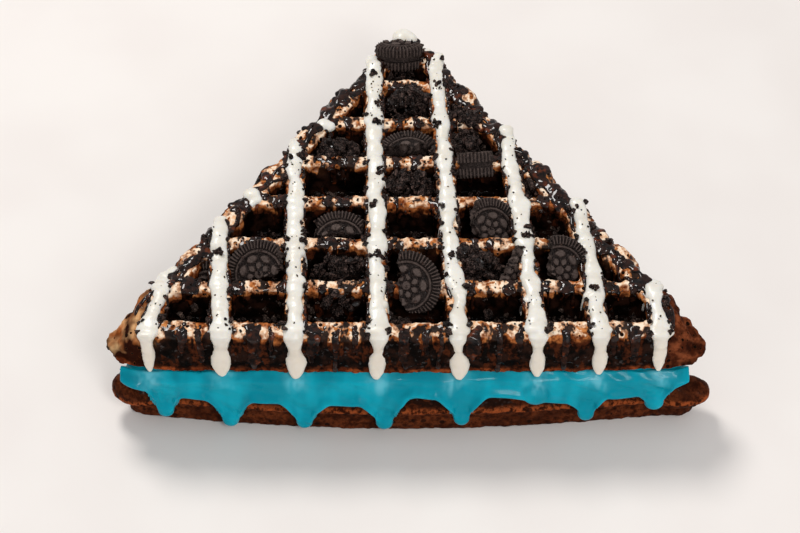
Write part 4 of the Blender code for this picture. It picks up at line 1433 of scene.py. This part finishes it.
def cream_material():
    """Blue cream, milky where icing runs into it, with a painted reflection of the white tips there."""
    mix = Finish(
        "blue_cream", Specular_IOR_Level=0.04, Subsurface_Weight=0.2, Subsurface_Scale=0.003,
        Subsurface_Radius=(0.2, 0.8, 1.0), Coat_Weight=0.12, Coat_Roughness=0.05,
    )
    streaks = mix.stretched(1.0, 1.0, 0.4)
    drift = mix.clouds(9.0, vector=streaks)
    look = mix.blend(mix.ramp(drift, 0.38, 0.66), (3, 145, 165), (9, 168, 189))
    # Milky streaks: icing in the cream, and a painted reflection of the white tips
    milk = mix.put("Attribute", attribute_name="milk")["Fac"]
    cloudy = mix.ramp(mix.clouds(3.0, 1.0, vector=streaks), 0.36, 0.62, 0.20, 0.80)
    look = mix.blend(mix.times(milk, cloudy), look, (112, 200, 216))
    rough = mix.ramp(mix.clouds(6.0), 0.3, 0.7, 0.24, 0.38)
    return mix.close(look, (mix.clouds(5.0), 0.25, 0.0006), Roughness=rough)


def drizzle_material():
    """White icing, beige down the front: partly where it runs thin over the brown, partly painted shade with
    warm bounced light.
    """
    mix = Finish(
        "white_drizzle", Specular_IOR_Level=0.35, Subsurface_Weight=0.3, Subsurface_Scale=0.003,
        Subsurface_Radius=(1.0, 0.85, 0.6), Coat_Weight=0.15, Coat_Roughness=0.15,
    )
    _, y, z = mix.put("SeparateXYZ", {0: mix.vector})
    drift = mix.clouds(5.0)
    look = mix.blend(mix.ramp(drift, 0.35, 0.7), (234, 230, 221), (225, 218, 205))
    # Beige down the front wall: thin icing over the brown, and painted shade with warm bounced light
    thin_and_shaded_run = mix.times(mix.ramp(z, 46.6, 40.5), mix.ramp(y, -71.5, -74.6))
    look = mix.blend(thin_and_shaded_run, look, mix.blend(drift, (229, 216, 198), (243, 235, 222)))
    rough = mix.ramp(drift, 0.3, 0.7, 0.28, 0.42)
    return mix.close(look, (mix.clouds(2.5), 0.25, 0.0004), Roughness=rough)


def sauce_material():
    """Glossy dark chocolate, redder where it is thin, wet on the tops and at the feet of its runs."""
    mix = Finish("chocolate_sauce", Specular_IOR_Level=0.02, Coat_Roughness=0.04)
    drift = mix.clouds(2.2, 3.0, 0.6)
    look = mix.blend(mix.ramp(drift, 0.36, 0.66), (7, 3, 2), (46, 23, 14))
    look = mix.blend(mix.ramp(mix.clouds(3.6), 0.57, 0.70), look, (92, 42, 19))
    z = mix.put("SeparateXYZ", {0: mix.vector})["Z"]
    shine = mix.maths("MAXIMUM", mix.glints(), mix.ramp(z, 43.0, 44.5, 0.08, 0.60))
    shine = mix.plus(shine, mix.ramp(z, 34.0, 32.0, 0.0, 0.5))
    rough = mix.ramp(drift, 0.3, 0.7, 0.12, 0.26)
    return mix.close(look, (mix.clouds(1.3), 0.7, 0.0005), Coat_Weight=shine, Roughness=rough)


def cocoa_material(name, grain, pressed=False):
    """Dry cocoa biscuit with painted shade in its hollows, paler flecks, and a share of it wet with sauce."""
    size, dark, light, wet = COCOA[name]
    mix = Finish(name, Specular_IOR_Level=0.10, Roughness=0.60, Coat_Roughness=0.12)
    drift = mix.clouds(1.5, 3.0, 0.6)
    baked = mix.group(grain, Size=size)
    # Darker where the grain lies low: painted shade in its hollows, mixed with tone that differs at random
    shade = mix.maths("MULTIPLY_ADD", drift, 0.5, mix.times(baked["Height"], 0.5))
    edge = (0.42, 0.60) if pressed else (0.47, 0.70)
    look = mix.blend(mix.ramp(shade, *edge), dark, light)
    if pressed:
        # The pressed relief gets painted shade in its grooves and a painted highlight on its ridges
        relief = mix.put("Attribute", attribute_name="relief")["Fac"]
        look = mix.blend(mix.ramp(relief, 0.65, 0.10, 0.0, 0.85), look, (14, 9, 8))
        look = mix.blend(mix.ramp(relief, 0.80, 1.0, 0.0, 0.35), look, (112, 98, 92))
    look = mix.blend(mix.times(baked["Fleck"], 0.60), look, (152, 133, 126))
    film = mix.ramp(mix.clouds(6.0), 0.70 - 0.35 * wet, 0.76 - 0.35 * wet)
    look = mix.blend(mix.times(film, 0.7), look, (16, 10, 8))
    return mix.close(look, (baked["Height"], 0.8, 0.0005), Coat_Weight=mix.times(film, 0.5))


def floor_material():
    mix = Finish("pale_floor", Roughness=0.65, Specular_IOR_Level=0.2)
    return mix.close(mix.blend(mix.ramp(mix.clouds(60.0), 0.3, 0.7), (238, 231, 226), (242, 236, 231)))


# ---------------------------------------------------------------- the scene

def dress(piece, material, slot, *nodes):
    piece.data.materials.clear()
    piece.data.materials.append(material)
    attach(piece, "root")
    if nodes:
        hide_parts(*nodes)


def add_camera():
    deselect()
    bpy.ops.object.camera_add(location=CAMERA_PLACE, rotation=(math.radians(CAMERA_PITCH), 0, 0))
    camera = bpy.context.object
    camera.data.lens = CAMERA_LENS
    camera.data.sensor_width = SENSOR_WIDTH
    camera.data.clip_start = 0.01
    bpy.context.scene.camera = camera


def add_light(place, target, size, power, tint):
    deselect()
    bpy.ops.object.light_add(type="AREA", location=place)
    light = bpy.context.object
    light.data.shape = "DISK"
    light.data.size = size
    light.data.energy = power
    light.data.color = tint
    light.rotation_mode = "QUATERNION"
    light.rotation_quaternion = (Vector(target) - Vector(place)).to_track_quat("-Z", "Y")


def add_surroundings():
    """A pale floor, soft daylight, a large light from behind and two small ones from the front."""
    deselect()
    bpy.ops.mesh.primitive_plane_add(size=FLOOR_SIZE, location=(0, 0, -FLOOR_DROP))
    floor = bpy.context.object
    floor.name = "floor"
    floor.data.materials.append(floor_material())
    world = bpy.data.worlds.new("soft_daylight")
    world.use_nodes = True
    backdrop = world.node_tree.nodes["Background"]
    backdrop.inputs["Color"].default_value = DAYLIGHT
    backdrop.inputs["Strength"].default_value = DAYLIGHT_STRENGTH
    bpy.context.scene.world = world
    bpy.context.scene.view_settings.view_transform = "Standard"
    for light in LIGHTS:
        add_light(*light)


def main():
    grain, pores = make_grain_group(), make_pores_group()
    upper = make_upper_crust()
    lower = make_lower_crust()
    cream = make_cream()
    walls = surface_of(upper)
    drizzle = make_drizzle(walls)
    sauce = make_sauce(walls)
    cookies = {node: make_cookie(node, place, seed) for seed, (node, place) in enumerate(COOKIES.items())}
    covered = surface_of(upper, sauce, *cookies.values())
    iced = surface_of(upper, drizzle)
    chunks = make_cookie_chunks()
    coarse = make_coarse_crumbs(iced)
    scattered = make_pocket_crumbs(covered)
    fine = make_fine_crumbs(covered, iced)

    dress(upper, upper_crust_material(grain, pores), "waffle_crust", "waffle_upper")
    dress(lower, lower_crust_material(grain, pores), "waffle_crust", "waffle_lower")
    dress(cream, cream_material(), "blue_cream", "cream_filling")
    dress(drizzle, drizzle_material(), "white_drizzle")
    dress(sauce, sauce_material(), "chocolate_sauce")
    biscuit = cocoa_material("cocoa_cookie", grain, pressed=True)
    for node, cookie in cookies.items():
        dress(cookie, biscuit, "cocoa_cookie", node)
    dress(chunks, cocoa_material("cocoa_chunk", grain), "cocoa_cookie")
    crumb = cocoa_material("cocoa_crumb", grain)
    dress(coarse, crumb, "cocoa_crumb")
    # The crumbs in the pockets get the paler copy: painted light against the shade there
    dress(scattered, cocoa_material("pocket_crumb", grain), "cocoa_crumb")
    dress(fine, crumb, "cocoa_crumb")

    add_camera()
    add_surroundings()
    deselect()


main()
